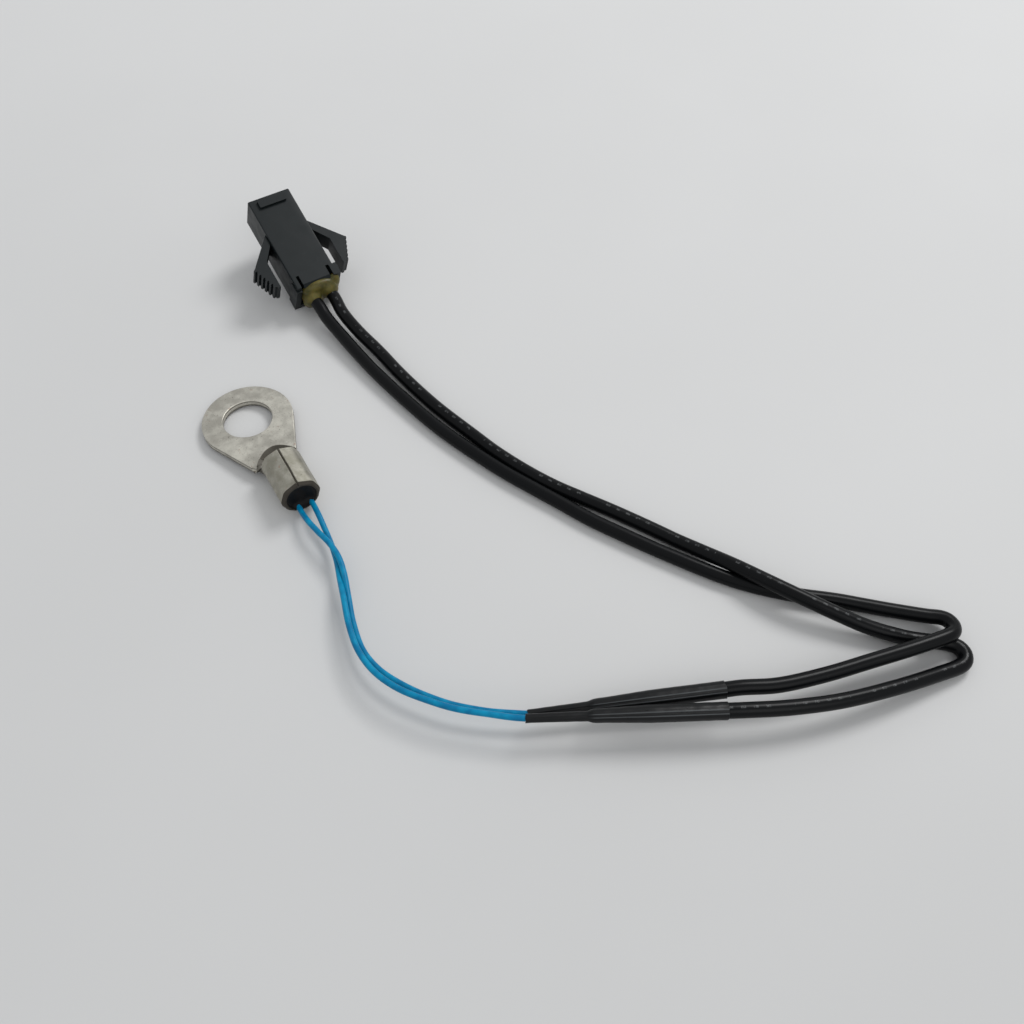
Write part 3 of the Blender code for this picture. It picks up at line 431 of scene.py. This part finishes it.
def pottedPoints(side):
    # along the barrel, where the fan, the move aside and the sink all grow with the square of the way
    along = np.linspace(leads["pottedStart"], leads["pottedEnd"], leads["pottedPoints"])
    share = ((along - along[0]) / (along[-1] - along[0])) ** 2
    apart = leads["pottedHalfGap"] + leads["pottedFan"] * share
    across = lug["offset"] - leads["pottedAside"] * share + side * apart
    up = barrelMiddle - leads["pottedBelow"] - leads["pottedSink"] * share
    return lugToRow(np.stack([-along, across, up], axis=-1)) / mm


def leadRoute(kind, name):
    # smooth route through the points inside the barrel or plug, the free points and those inside the sleeve
    side = 1 if name == "a" else -1
    start, axis = sleeveAxis(name)
    inSleeve = [start + axis * run for run in leads[kind + "InSleeve"]]
    free = leads[kind + name.upper()]
    if kind == "blue":
        route = [*pottedPoints(side), *free, *inSleeve]
    else:
        socket = (side * plug["pitch"] / 2, plug["height"] / 2)
        route = [*inSleeve, *free, *(plugToRow([(along, *socket) for along in leads["inPlug"]]) / mm)]
    return smoothRoute(np.array(route) * mm, leads["spacing"] * mm)


def makeLead(kind, name, material):
    # tube of even radius with a slow ripple of a hundredth in it; v = 0.25 faces up; the blue leads are
    # drawn sideways to each other between the place where they cross and their sleeves
    radius = leads[kind + "Radius"] * mm
    path, run = leadRoute(kind, name)
    if kind == "blue":
        side = 1 if name == "a" else -1
        fromStart = smoothstep((run / mm - leads["drawAfter"]) / leads["drawFade"])
        fromEnd = smoothstep(((run[-1] - run) / mm - leads["drawUntil"]) / leads["drawFade"])
        sideways = alongPath(path)[1]
        path = path + side * leads["draw"] * mm * (fromStart * fromEnd)[:, None] * sideways
    path[:, 2] = np.maximum(path[:, 2], radius + tableGap)
    turn = np.linspace(0, 2 * pi, leads[kind + "Turns"], endpoint=False)
    waves = ripple(run[:, None] / (leads["swellRun"] * mm) + np.sin(turn), seed=len(kind) + ord(name))
    label = f"{kind}_lead_{name}"
    grid = tubeGrid(path, radius * (1 + leads["swell"] * waves), turn)
    piece = addPiece(gridMesh(label + "_skin", grid, rowMarks=run / mm), material, label, angle=60)
    return piece, path, run[-1], 2 * radius


def tongueReach(turn):
    # distance from the hole's centre to the outline: circle, tangent line to the neck, neck's side, cut end
    corner = atan2(lug["neckHalfWidth"], -lug["neckEnd"])
    tangent = corner - np.arccos(lug["ringRadius"] / hypot(lug["neckHalfWidth"], lug["neckEnd"]))
    end = lug["barrelFront"] + lug["lap"]
    turn = np.abs(turn)
    toSide = lug["neckHalfWidth"] / np.maximum(np.sin(turn), 1e-9)
    neck = np.minimum(toSide, end / np.maximum(-np.cos(turn), 1e-9))
    line = lug["ringRadius"] / np.cos(np.clip(turn - tangent, 0, 1.4))
    return np.where(turn <= tangent, lug["ringRadius"], np.where(turn <= corner, line, neck))


def tongueLean(along):
    # sideways shear of the neck, growing evenly to its end
    return lug["lean"] * np.clip((-along - lug["leanStart"]) / (lug["neckEnd"] - lug["leanStart"]), 0, 1)


def tongueSink(along, across):
    # depth of the bowl: a quarter sine wave down from a mouth that is a parabola in front of the barrel
    fromAxis = across + tongueLean(along) - lug["offset"]
    mouth = -lug["bowlStart"] - lug["bowlSweep"] * (fromAxis / lug["bowlHalfWidth"]) ** 2
    return lug["drop"] * np.sin(pi / 2 * np.clip((mouth - along) / lug["sinkRun"], 0, 1))


def tongueCurl(along):
    # share of the way from the flat neck to the full curl, by a smooth step
    return smoothstep((-along - lug["neckEnd"]) / (lug["curlEnd"] - lug["neckEnd"]))


def tongueMiddle(along, across):
    # fully sunk flat sheet that leans to the barrel's side and is then curled to an arc round its axis
    side, curl = across + tongueLean(along), tongueCurl(along)
    arc = lug["barrelRadius"] - lug["sheet"] / 2 - lug["curlGap"]
    arcAcross, arcUp = arc * np.sin(across / arc), barrelMiddle - arc * np.cos(across / arc)
    flatUp = lug["sheet"] / 2 - lug["drop"]
    side = side + curl * (lug["offset"] + arcAcross - side)
    return np.stack([along, side, flatUp + curl * (arcUp - flatUp)], axis=-1)


def mouthShare(turn, plainShare):
    # share of the way from the hole to the outline where the sheet first sinks, or plainShare if it doesn't
    share = np.linspace(0, 1, 600)
    nearest, farthest = 0.05, 0.97
    radius = lug["holeRadius"] + share * (tongueReach(turn)[:, None] - lug["holeRadius"])
    sunk = tongueSink(radius * np.cos(turn)[:, None], radius * np.sin(turn)[:, None]) > 0
    first = np.clip(share[np.argmax(sunk, axis=1)], nearest, farthest)
    return np.where(sunk.any(axis=1), first, plainShare)


def tongueSurface():
    # a closed profile round the sheet's section (top, outer edge, underside, hole's wall) carried round the
    # hole, its middle column laid along the bowl's mouth
    half, top, under, count = lug["sheet"] / 2, lug["topEdge"], lug["underEdge"], lug["flatRows"]
    arc = np.linspace(0, pi / 2, 5)
    flat = np.linspace(0, 1, count + 2)[1:-1]
    inset = np.concatenate([
        top * (1 - 2 * flat), -top * (1 - np.sin(arc)), -under * (1 - np.cos(arc)),
        under * (2 * flat - 1), under * (1 - np.sin(arc)), top * (1 - np.cos(arc))])
    level = np.concatenate([
        np.full(count, half), half - top * (1 - np.cos(arc)), -half + under * (1 - np.sin(arc)),
        np.full(count, -half), -half + under * (1 - np.cos(arc)), half - top * (1 - np.sin(arc))])
    corner = atan2(lug["neckHalfWidth"], -lug["neckEnd"])
    end = atan2(lug["neckHalfWidth"], -lug["barrelFront"] - lug["lap"])
    even = np.linspace(-pi, pi, lug["turns"], endpoint=False)
    turn = np.unique(np.concatenate([even, [corner, -corner, end, -end]]))
    middle = flat[count // 2]
    mouth = mouthShare(turn, middle)[:, None]
    beyond = mouth + (flat - middle) / (1 - middle) * (1 - mouth)
    flats = np.where(flat < middle, flat / middle * mouth, beyond)
    ends = np.ones((len(turn), 2 * len(arc)))
    share = np.hstack([flats, ends, flats[:, ::-1], 0 * ends])
    radius = lug["holeRadius"] + share * (tongueReach(turn)[:, None] - lug["holeRadius"]) + inset[None]
    along, across = radius * np.cos(turn)[:, None], radius * np.sin(turn)[:, None]
    step = 0.02
    slopeAlong = tongueMiddle(along + step, across) - tongueMiddle(along - step, across)
    slopeAcross = tongueMiddle(along, across + step) - tongueMiddle(along, across - step)
    normal = np.cross(slopeAlong, slopeAcross)
    normal /= np.linalg.norm(normal, axis=-1, keepdims=True)
    points = tongueMiddle(along, across) + level[None, :, None] * normal
    points[..., 2] += (lug["drop"] - tongueSink(along, across)) * (1 - tongueCurl(along))
    return points


def barrelSurface():
    # soft octagon with a V groove along its top corner, carried from the front lip to the rear bevel and back
    # through the bore, which opens in a chamfer at the rear; the groove wanders, both its lips stand up a
    # little, and the front face leans back by frontSlant from the bottom to the top
    turn = np.linspace(0, 2 * pi, lug["barrelTurns"], endpoint=False)
    fromSeam = np.angle(np.exp(1j * (turn - pi / 2)))
    upper = smoothstep((np.sin(turn) + 0.9) / 0.5)  # the belly has no corners
    flats = lug["barrelRadius"] + lug["corner"] * (0.5 + 0.5 * np.cos(8 * turn)) * upper
    length, edge, (bevelRun, bevelDepth) = lug["barrelLength"], lug["rim"], lug["rearBevel"]
    arc = np.linspace(0, pi / 2, 5)
    body = np.linspace(edge, length - bevelRun, lug["barrelRows"])[1:]
    chamfer = length - np.array([0.0, 0.06, 0.3, 0.6, 0.8])
    bore = np.concatenate([chamfer, np.linspace(length - 1.2, 0.3, lug["boreRows"]), [0.0]])
    run = np.concatenate([edge * (1 - np.cos(arc)), body, [length - 0.03], bore])
    shrink = np.concatenate([edge * (1 - np.sin(arc)), 0 * body, [bevelDepth]])
    outerRun = run[:len(shrink), None]
    wander = lug["seamWander"] * ripple(outerRun / lug["seamWave"], 5)
    away = np.abs(fromSeam / radians(lug["seamHalfAngle"]) - wander)
    lips = lug["seamLip"] * np.exp(-((away - 1.5) / 0.6) ** 2)
    groove = lug["seamDepth"] * np.maximum(1 - away, 0) - lips
    dents = lug["dents"] * ripple(turn * 3 + 0.8 * outerRun, 21)
    outer = flats - groove - shrink[:, None] + dents
    wide = np.interp(length - bore, *np.array(lug["mouthProfile"]).T)
    radius = np.vstack([outer, wide[:, None] + 0 * turn])
    across, up = radius * np.cos(turn), radius * np.sin(turn)
    height = 0.5 + 0.5 * up / lug["barrelRadius"]
    along = -lug["barrelFront"] - run[:, None] - lug["frontSlant"] * height * (1 - run[:, None] / length)
    return np.stack([along, lug["offset"] + across, barrelMiddle + up], axis=-1)


def makeRingTerminal(material):
    # tongue and barrel joined to one skin
    points = lugToRow(tongueSurface())
    points[..., 2] = np.maximum(points[..., 2], tableGap)
    tongue = gridMesh("ring_terminal_skin", points, wrapRows=True)
    barrel = gridMesh("barrel", lugToRow(barrelSurface()), wrapRows=True)
    piece = addPiece(tongue, material, "ring_terminal")
    helper = bpy.data.objects.new("barrel", barrel)
    bpy.context.scene.collection.objects.link(helper)
    union = piece.modifiers.new("barrel", "BOOLEAN")
    union.operation = "UNION"
    union.solver = "EXACT"
    union.use_self = True
    union.object = helper
    joined = bpy.data.meshes.new_from_object(piece.evaluated_get(bpy.context.evaluated_depsgraph_get()))
    piece.modifiers.clear()
    piece.data = joined
    joined.name = "ring_terminal_skin"
    bpy.data.objects.remove(helper)
    joined.shade_smooth()
    joined.set_sharp_from_angle(angle=radians(lug["keepSharp"]))
    return piece


# millimetres
potting = {
    # distance behind the barrel's front, radius; the last eight are the rear face, from the wall inwards
    "profile": ((0.9, 0.05), (0.9, 1.5), (6.7, 1.5), (7.1, 1.72), (7.34, 1.93), (7.36, 1.84), (7.32, 1.6),
                (7.27, 1.3), (7.23, 1.0), (7.20, 0.7), (7.19, 0.4), (7.18, 0.1)),
    "faceFrom": 7.15, "uneven": 0.05, "creep": 0.5, "creepBelow": 0.6, "creepWithin": 1.9, "turns": 48,
}


def makePotting(material):
    # profile of radius over length turned about the barrel's axis: resin that fills the bore and stands a
    # little hollow and uneven in the rear mouth, where it creeps out round the leads at the bottom
    run, radius = np.array(potting["profile"]).T[..., None]
    turn = np.linspace(0, 2 * pi, potting["turns"], endpoint=False)[None]
    across, up = radius * np.cos(turn), radius * np.sin(turn)
    uneven = potting["uneven"] * ripple(2.1 * across, 31) * ripple(2.1 * up + 1, 32)
    low = smoothstep((-up - potting["creepBelow"]) / 0.7)
    creep = potting["creep"] * low * smoothstep((potting["creepWithin"] - radius) / 0.3)
    along = -lug["barrelFront"] - run + (uneven - creep) * (run > potting["faceFrom"])
    points = np.stack([along, lug["offset"] + across, barrelMiddle + up], axis=-1)
    mesh = gridMesh("barrel_potting_skin", lugToRow(points))
    return addPiece(mesh, material, "barrel_potting")


def makePlugHousing(material):
    # the moulding's own solid with its loose triangles merged, its flats cleaned and every edge eased
    bm = bmesh.new()
    bm.from_mesh(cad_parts["plug_housing"].data)
    bmesh.ops.remove_doubles(bm, verts=bm.verts, dist=plug["mergeWithin"] * mm)
    bmesh.ops.dissolve_limit(bm, angle_limit=radians(plug["flatWithin"]), verts=bm.verts, edges=bm.edges)
    mesh = bpy.data.meshes.new("plug_housing_skin")
    bm.to_mesh(mesh)
    bm.free()
    for attribute in [a for a in mesh.attributes if a.name == "custom_normal"]:
        mesh.attributes.remove(attribute)
    piece = addPiece(mesh, material, "plug_housing", angle=plug["edgeAngle"])
    bevel = piece.modifiers.new("edges", "BEVEL")
    bevel.width = plug["edge"] * mm
    bevel.segments = 2
    bevel.limit_method = "ANGLE"
    bevel.angle_limit = radians(plug["edgeAngle"])
    flat = piece.modifiers.new("normals", "WEIGHTED_NORMAL")
    flat.keep_sharp = True
    return piece


# millimetres, in the plug's frame
glue = {
    "middle": (-0.1, -0.1, 2.6), "blend": 10, "lumps": 0.02, "rows": 72, "turns": 120,
    # centre and half axes of each lobe
    "lobes": (((-0.05, -0.05, 2.9), (1.35, 2.55, 1.95)), ((-1.05, 1.15, 3.0), (1.15, 1.25, 1.25)),
              ((-0.1, -0.1, 4.15), (0.8, 2.45, 0.9)), ((-0.75, -1.5, 3.2), (1.1, 1.35, 1.45)),
              ((0.1, -2.6, 3.6), (0.75, 0.95, 1.55)), ((-0.9, 0.9, 2.0), (0.9, 1.5, 1.1))),
}


def makeGlue(material):
    # from one middle point the surface is as far out as the farthest of a few ellipsoids in each direction,
    # blended with a high power mean, and pushed in and out by a small ripple
    up = np.linspace(-pi / 2, pi / 2, glue["rows"])[1:-1, None]
    turn = np.linspace(0, 2 * pi, glue["turns"], endpoint=False)[None]
    ray = np.stack([np.cos(up) * np.cos(turn), np.cos(up) * np.sin(turn), np.sin(up) + 0 * turn], axis=-1)
    reach = 0
    for centre, half in glue["lobes"]:
        # where the ray p + t * d leaves the ellipsoid: the larger root of |(t * d - c) / half| = 1
        d, c = ray / half, (np.array(centre) - glue["middle"]) / half
        a, b = np.sum(d * d, axis=-1), np.sum(d * c, axis=-1)
        inside = np.maximum(b * b - a * (np.sum(c * c) - 1), 0)
        reach = reach + np.maximum((b + np.sqrt(inside)) / a * (inside > 0), 0) ** glue["blend"]
    reach = reach ** (1 / glue["blend"])
    x, y, z = np.moveaxis(ray, -1, 0)
    waves = ripple(3 * x + 2 * np.sin(2 * y) + z, 11) * ripple(4 * y - 3 * z, 12)
    points = ray * (reach * (1 + glue["lumps"] * waves))[..., None] + glue["middle"]
    mesh = gridMesh("wire_end_glue_skin", plugToRow(points.reshape(-1, 3)).reshape(points.shape))
    return addPiece(mesh, material, "wire_end_glue", angle=60)


# a pattern is a noise's scale, detail and roughness, and the two of its levels between which it fades in
tin = {
    "light": (0.66, 0.64, 0.57), "dark": (0.47, 0.45, 0.395), "stainAndShade": (0.085, 0.075, 0.058),
    "rust": (0.34, 0.17, 0.11), "bronze": (0.050, 0.043, 0.034), "barrel": (0.24, 0.23, 0.18),
    "clouds": (420, 5, 0.6, 0.35, 0.68), "barrelClouds": (650, 5, 0.65, 0.35, 0.65),
    "stains": (900, 6, 0.7, 0.60, 0.74), "rustSpots": (1500, 4, 0.6, 0.64, 0.70),
    "specks": (2300, 2, 0.5, 0.69, 0.76), "grain": (5200, 3, 0.6), "darkGrain": (0.42, 0.30),
    # where the masks fade, in millimetres: behind the bowl's mouth (painted shade), up the sheet's sides,
    # behind the barrel's front, beside the seam (painted shade) and up from the table
    "mouthShadeStart": (-0.10, 0.02), "mouthShadeEnd": (1.6, 0.9), "sideEnd": (0.0, -0.1),
    "lowerSide": (0.42, 0.30), "lineFoot": (0.70, 0.78), "lineTop": (0.93, 0.87),
    "barrelStart": (-0.1, 0.5), "seamStart": (0.3, 0.6), "seamSide": (0.17, 0.06), "seamAbove": (4.0, 4.3),
    "bevelFade": 0.02, "bump": 0.02,
}


def tinMaterial():
    # dull tin with pits and stains, painted shade in the bowl's mouth and in the seam's groove, and bronze on
    # the barrel's rear bevel
    material, place = startMaterial("dullTin")
    x, y, z = (place.axis(number) / mm for number in range(3))
    level = z - lug["ringRadius"] * sin(lugTilt)
    along = (x + lugMiddle) * cos(lugTilt) - level * sin(lugTilt)
    up = (x + lugMiddle) * sin(lugTilt) + level * cos(lugTilt)
    fromMiddle = y - lug["offset"]
    fromAxis = fromMiddle / lug["bowlHalfWidth"]
    behindMouth = -lug["bowlStart"] - fromAxis * fromAxis * lug["bowlSweep"] - along
    behindFront = -lug["barrelFront"] - along
    bevelStart = lug["barrelLength"] - lug["rearBevel"][0]
    # painted shade: the crease mask darkens and dulls the sheet where it sinks behind the bowl's mouth
    crease = behindMouth.ramp(*tin["mouthShadeStart"]) * behindMouth.ramp(*tin["mouthShadeEnd"])
    barrel = behindFront.ramp(*tin["barrelStart"])
    rear = behindFront.ramp(bevelStart - tin["bevelFade"], bevelStart + tin["bevelFade"])
    # painted shade: the seam mask darkens the V groove along the barrel's top
    seam = abs(fromMiddle).ramp(*tin["seamSide"]) * z.ramp(*tin["seamAbove"])
    seam = seam * behindFront.ramp(*tin["seamStart"])
    # the sheared sides of the sheet: a dark lower half and a dark line under the top edge
    side = up.ramp(*tin["lowerSide"]) + up.ramp(*tin["lineFoot"]) * up.ramp(*tin["lineTop"])
    side = side * behindMouth.ramp(*tin["sideEnd"])
    clouds = place.patches(*tin["clouds"])
    grain = place.noise(*tin["grain"])
    specks = place.patches(*tin["specks"])
    colour = clouds.mix(tin["dark"], tin["light"])
    colour = (barrel * (0.35 + place.patches(*tin["barrelClouds"]) * 0.4)).mix(colour, tin["barrel"])
    colour = (place.patches(*tin["stains"]) * 0.35).mix(colour, tin["stainAndShade"])
    colour = (place.patches(*tin["rustSpots"]) * 0.4).mix(colour, tin["rust"])
    darkGrain = grain.ramp(*tin["darkGrain"])
    # darkGrain, specks and side mix in real stains; crease and seam mix in the same dark colour as painted
    # shade
    for mask, share in ((darkGrain, 0.35), (specks, 0.7), (crease, 0.85), (side, 0.7), (seam, 0.9)):
        colour = (mask * share).mix(colour, tin["stainAndShade"])
    colour = rear.mix(colour, tin["bronze"])
    # worn sums real wear (rear bevel, specks) with the painted shade masks crease and seam
    worn = crease * 0.75 + seam * 0.8 + rear * 0.5 + specks * 0.5
    rough = 0.32 + 0.16 * clouds + 0.10 * grain + 0.2 * worn + 0.08 * barrel
    relief = grain * 0.35 - specks * 0.8 + clouds * 0.2
    return setShader(material, colour, rough, 1.0 - worn, relief, tin["bump"] * mm)


blackPvc = {
    "colour": (0.003, 0.0034, 0.004), "dust": (0.2, 0.2, 0.2), "dash": (0.075, 0.078, 0.08), "shine": 0.14,
    "streaks": (1.0, 4, 0.6), "streakStretch": (0.12, 9.0, 1.0), "dustSpots": (2600, 3, 0.6, 0.70, 0.78),
    "grain": (3000, 2, 0.55), "bump": 0.012,
    # dashes: length of one step and of one group, the shares of each that are drawn, the half width of the
    # band as a share of the way round, and the wear
    "step": 1.35, "stepShare": (0.42, 0.36), "group": 9.0, "groupStart": 0.3, "groupShare": (0.72, 0.70),
    "bandMiddle": 0.25, "band": (0.030, 0.022), "wear": (5000, 3, 0.7, 0.38, 0.60),
}


def blackLeadMaterial(name, dashed):
    # soft black with lengthwise streaks and a little dust, and faint worn dashes along the top where asked
    material, place = startMaterial(name)
    uv = uvOf(material)
    streaks = uv.stretch(*blackPvc["streakStretch"]).noise(*blackPvc["streaks"])
    dust = place.patches(*blackPvc["dustSpots"])
    colour = (dust * 0.12).mix(blackPvc["colour"], blackPvc["dust"])
    if dashed:
        run, turn = uv.axis(0), uv.axis(1)
        dash = (run / blackPvc["step"]).fract().ramp(*blackPvc["stepShare"])
        group = (run / blackPvc["group"] + blackPvc["groupStart"]).fract().ramp(*blackPvc["groupShare"])
        band = abs(turn - blackPvc["bandMiddle"]).ramp(*blackPvc["band"])
        colour = (dash * group * band * place.patches(*blackPvc["wear"])).mix(colour, blackPvc["dash"])
    rough = 0.22 + 0.14 * streaks + 0.2 * dust
    relief = streaks * 0.5 + place.noise(*blackPvc["grain"]) * 0.3
    return setShader(material, colour, rough, 0.0, relief, blackPvc["bump"] * mm,
                     {"Specular IOR Level": blackPvc["shine"]})


blueJacket = {
    "colour": (0.001, 0.255, 0.45), "deep": (0.001, 0.155, 0.325), "shine": 0.16,
    "clouds": (700, 3, 0.5, 0.3, 0.7), "grain": (4000, 3, 0.55), "bump": 0.006,
}


def blueLeadMaterial():
    material, place = startMaterial("blueFluoropolymer")
    clouds = place.patches(*blueJacket["clouds"])
    colour = clouds.mix(blueJacket["deep"], blueJacket["colour"])
    return setShader(material, colour, 0.28 + 0.12 * clouds, 0.0, place.noise(*blueJacket["grain"]),
                     blueJacket["bump"] * mm, {"Specular IOR Level": blueJacket["shine"]})


shrinkTube = {
    "colour": (0.0035, 0.004, 0.0045), "dust": (0.25, 0.25, 0.25), "fold": (0.085, 0.092, 0.096),
    "streaks": (1.0, 5, 0.65), "streakStretch": (0.25, 14.0, 1.0), "clouds": (900, 4, 0.6),
    "dustSpots": (3100, 3, 0.6, 0.68, 0.78), "shine": 0.24, "bump": 0.03,
    # the two upper folds carry painted highlight lines: where they start along the sleeve, their half width
    # as a share of the way round, how far the line wanders and where its middle lies beside the fold
    "litFolds": 2, "litFrom": (6.5, 7.5), "litWidth": (0.016, 0.004), "litWander": 0.008,
    "litBeside": 0.004,
}


def sleeveMaterial():
    # drawn black tube with lengthwise streaks, a little dust and painted highlight lines along its upper
    # folds
    material, place = startMaterial("shrinkTube")
    uv = uvOf(material)
    streaks = uv.stretch(*shrinkTube["streakStretch"]).noise(*shrinkTube["streaks"])
    clouds = place.noise(*shrinkTube["clouds"])
    dust = place.patches(*shrinkTube["dustSpots"])
    colour = (dust * 0.15).mix(shrinkTube["colour"], shrinkTube["dust"])
    run, turn = uv.axis(0), uv.axis(1)
    lit = run.ramp(*shrinkTube["litFrom"]) * (0.35 + 0.65 * streaks)
    # painted highlight: a pale line beside each of the upper folds
    for fold in sleeves["folds"][:shrinkTube["litFolds"]]:
        away = abs(turn + shrinkTube["litWander"] * clouds - (fold / 360 + shrinkTube["litBeside"]))
        colour = (away.ramp(*shrinkTube["litWidth"]) * lit).mix(colour, shrinkTube["fold"])
    rough = 0.18 + 0.14 * clouds + 0.1 * streaks
    return setShader(material, colour, rough, 0.0, streaks + clouds * 0.6, shrinkTube["bump"] * mm,
                     {"Specular IOR Level": shrinkTube["shine"]})


mouldedBlack = {
    "colour": (0.006, 0.009, 0.010), "worn": (0.013, 0.017, 0.019), "shine": 0.22,
    "spark": (9000, 2, 0.5), "clouds": (500, 4, 0.6, 0.35, 0.7), "wear": (1500, 5, 0.7, 0.55, 0.75),
    "bump": 0.006,
}


def plasticMaterial():
    # fine spark texture of a mould, slightly paler where it is worn
    material, place = startMaterial("mouldedBlack")
    spark = place.noise(*mouldedBlack["spark"])
    clouds = place.patches(*mouldedBlack["clouds"])
    colour = (place.patches(*mouldedBlack["wear"]) * 0.5).mix(mouldedBlack["colour"], mouldedBlack["worn"])
    rough = 0.34 + 0.12 * clouds + 0.08 * spark
    return setShader(material, colour, rough, 0.0, spark * 0.6 + clouds * 0.3, mouldedBlack["bump"] * mm,
                     {"Specular IOR Level": mouldedBlack["shine"]})


amber = {
    "colour": (0.118, 0.098, 0.020), "deep": (0.050, 0.045, 0.010), "shine": 0.25, "bump": 0.02,
    "clouds": (700, 5, 0.6, 0.3, 0.7), "grain": (1200, 3, 0.55), "seeInto": 0.15, "depth": 0.6,
}


def glueMaterial():
    material, place = startMaterial("amberGlue")
    clouds = place.patches(*amber["clouds"])
    colour = clouds.mix(amber["deep"], amber["colour"])
    constants = {"Specular IOR Level": amber["shine"], "Subsurface Weight": amber["seeInto"],
                 "Subsurface Scale": amber["depth"] * mm}
    return setShader(material, colour, 0.30 + 0.2 * clouds, 0.0, place.noise(*amber["grain"]),
                     amber["bump"] * mm, constants)


plainFinishes = {
    # for the pieces that are mostly hidden: first and second tone, roughness, metal, shine
    "pottingEpoxy": ((0.003, 0.003, 0.003), (0.007, 0.006, 0.006), 0.4, 0.0, 0.12),
    "beadCoat": ((0.10, 0.02, 0.01), (0.18, 0.05, 0.03), 0.2, 0.0, 0.5),
    "barePlatedWire": ((0.55, 0.53, 0.50), (0.68, 0.66, 0.62), 0.25, 1.0, 0.5),
    "solderedJoint": ((0.50, 0.50, 0.50), (0.66, 0.66, 0.65), 0.3, 1.0, 0.5),
    "platedContact": ((0.55, 0.51, 0.43), (0.68, 0.64, 0.55), 0.25, 1.0, 0.5),
    "clouds": (900, 4, 0.6, 0.3, 0.7), "grain": (5000, 3, 0.6), "bump": 0.008,
}


def plainMaterial(name):
    first, second, rough, metallic, shine = plainFinishes[name]
    material, place = startMaterial(name)
    clouds = place.patches(*plainFinishes["clouds"])
    grain = place.noise(*plainFinishes["grain"])
    return setShader(material, clouds.mix(first, second), rough + 0.12 * grain, metallic, grain,
                     plainFinishes["bump"] * mm, {"Specular IOR Level": shine})


# metres; paintedLightSlope is a painted light gradient: the share of its colour by which the table brightens
# in a metre of X and of Y
table = {
    "half": 2.0, "colour": (0.613, 0.614, 0.612), "rough": 0.6, "clouds": (14, 4, 0.5, 0.3, 0.7),
    "paintedLightSlope": (0.62, 0.25), "paintedLightLimits": (-0.10, 0.08), "cloudLevels": (0.985, 0.03),
}


def tableMaterial():
    # pale clouded table with painted light that grows a little brighter towards the far side
    material, place = startMaterial("paleTable")
    slopeX, slopeY = table["paintedLightSlope"]
    # painted light: a gradient that brightens the table's colour along X and Y
    paintedLightSlope = (place.axis(0) * slopeX + place.axis(1) * slopeY).clip(*table["paintedLightLimits"])
    base, cloudy = table["cloudLevels"]
    level = base + cloudy * place.patches(*table["clouds"]) + paintedLightSlope
    settings = {"operation": "SCALE"}
    colour = place.node("ShaderNodeVectorMath", settings, {0: table["colour"], "Scale": level})
    return setShader(material, colour, table["rough"])


def addTable():
    mesh = bpy.data.meshes.new("floor")
    corners = [(x * table["half"], y * table["half"], 0) for x, y in ((-1, -1), (1, -1), (1, 1), (-1, 1))]
    mesh.from_pydata(corners, [], [(0, 1, 2, 3)])
    mesh.materials.append(tableMaterial())
    floor = bpy.data.objects.new("floor", mesh)
    bpy.context.scene.collection.objects.link(floor)


def dressNode(name, material):
    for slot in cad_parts[name].material_slots:
        slot.material = material


addCamera()
addLamp("keyLight")
addLamp("fillLight")
addWorld()
bpy.context.scene.view_settings.view_transform = "Standard"
addTable()
print("camera, table and lamps set")

blue, shrink = blueLeadMaterial(), sleeveMaterial()
black = {"a": blackLeadMaterial("blackPvc", False), "b": blackLeadMaterial("blackPvcDashed", True)}
housing = makePlugHousing(plasticMaterial())
glueBlob = makeGlue(glueMaterial())
print("plug housing and glue made")

for name in ("a", "b"):
    sleeve = makeSleeve(name, shrink)
    piece, path, length, diameter = makeLead("blue", name, blue)
    piece, path, length, diameter = makeLead("black", name, black[name])
    print("lead pair", name, "made, black lead", round(length / mm, 1), "mm long")

makeRingTerminal(tinMaterial())
makePotting(plainMaterial("pottingEpoxy"))
print("ring terminal and potting made")

dressNode("thermistor_bead", plainMaterial("beadCoat"))
for node, finish in (("bead_leg_", "barePlatedWire"), ("splice_joint_", "solderedJoint"),
                     ("socket_contact_", "platedContact")):
    material = plainMaterial(finish)
    for name in ("a", "b"):
        dressNode(node + name, material)
print("inner pieces dressed")
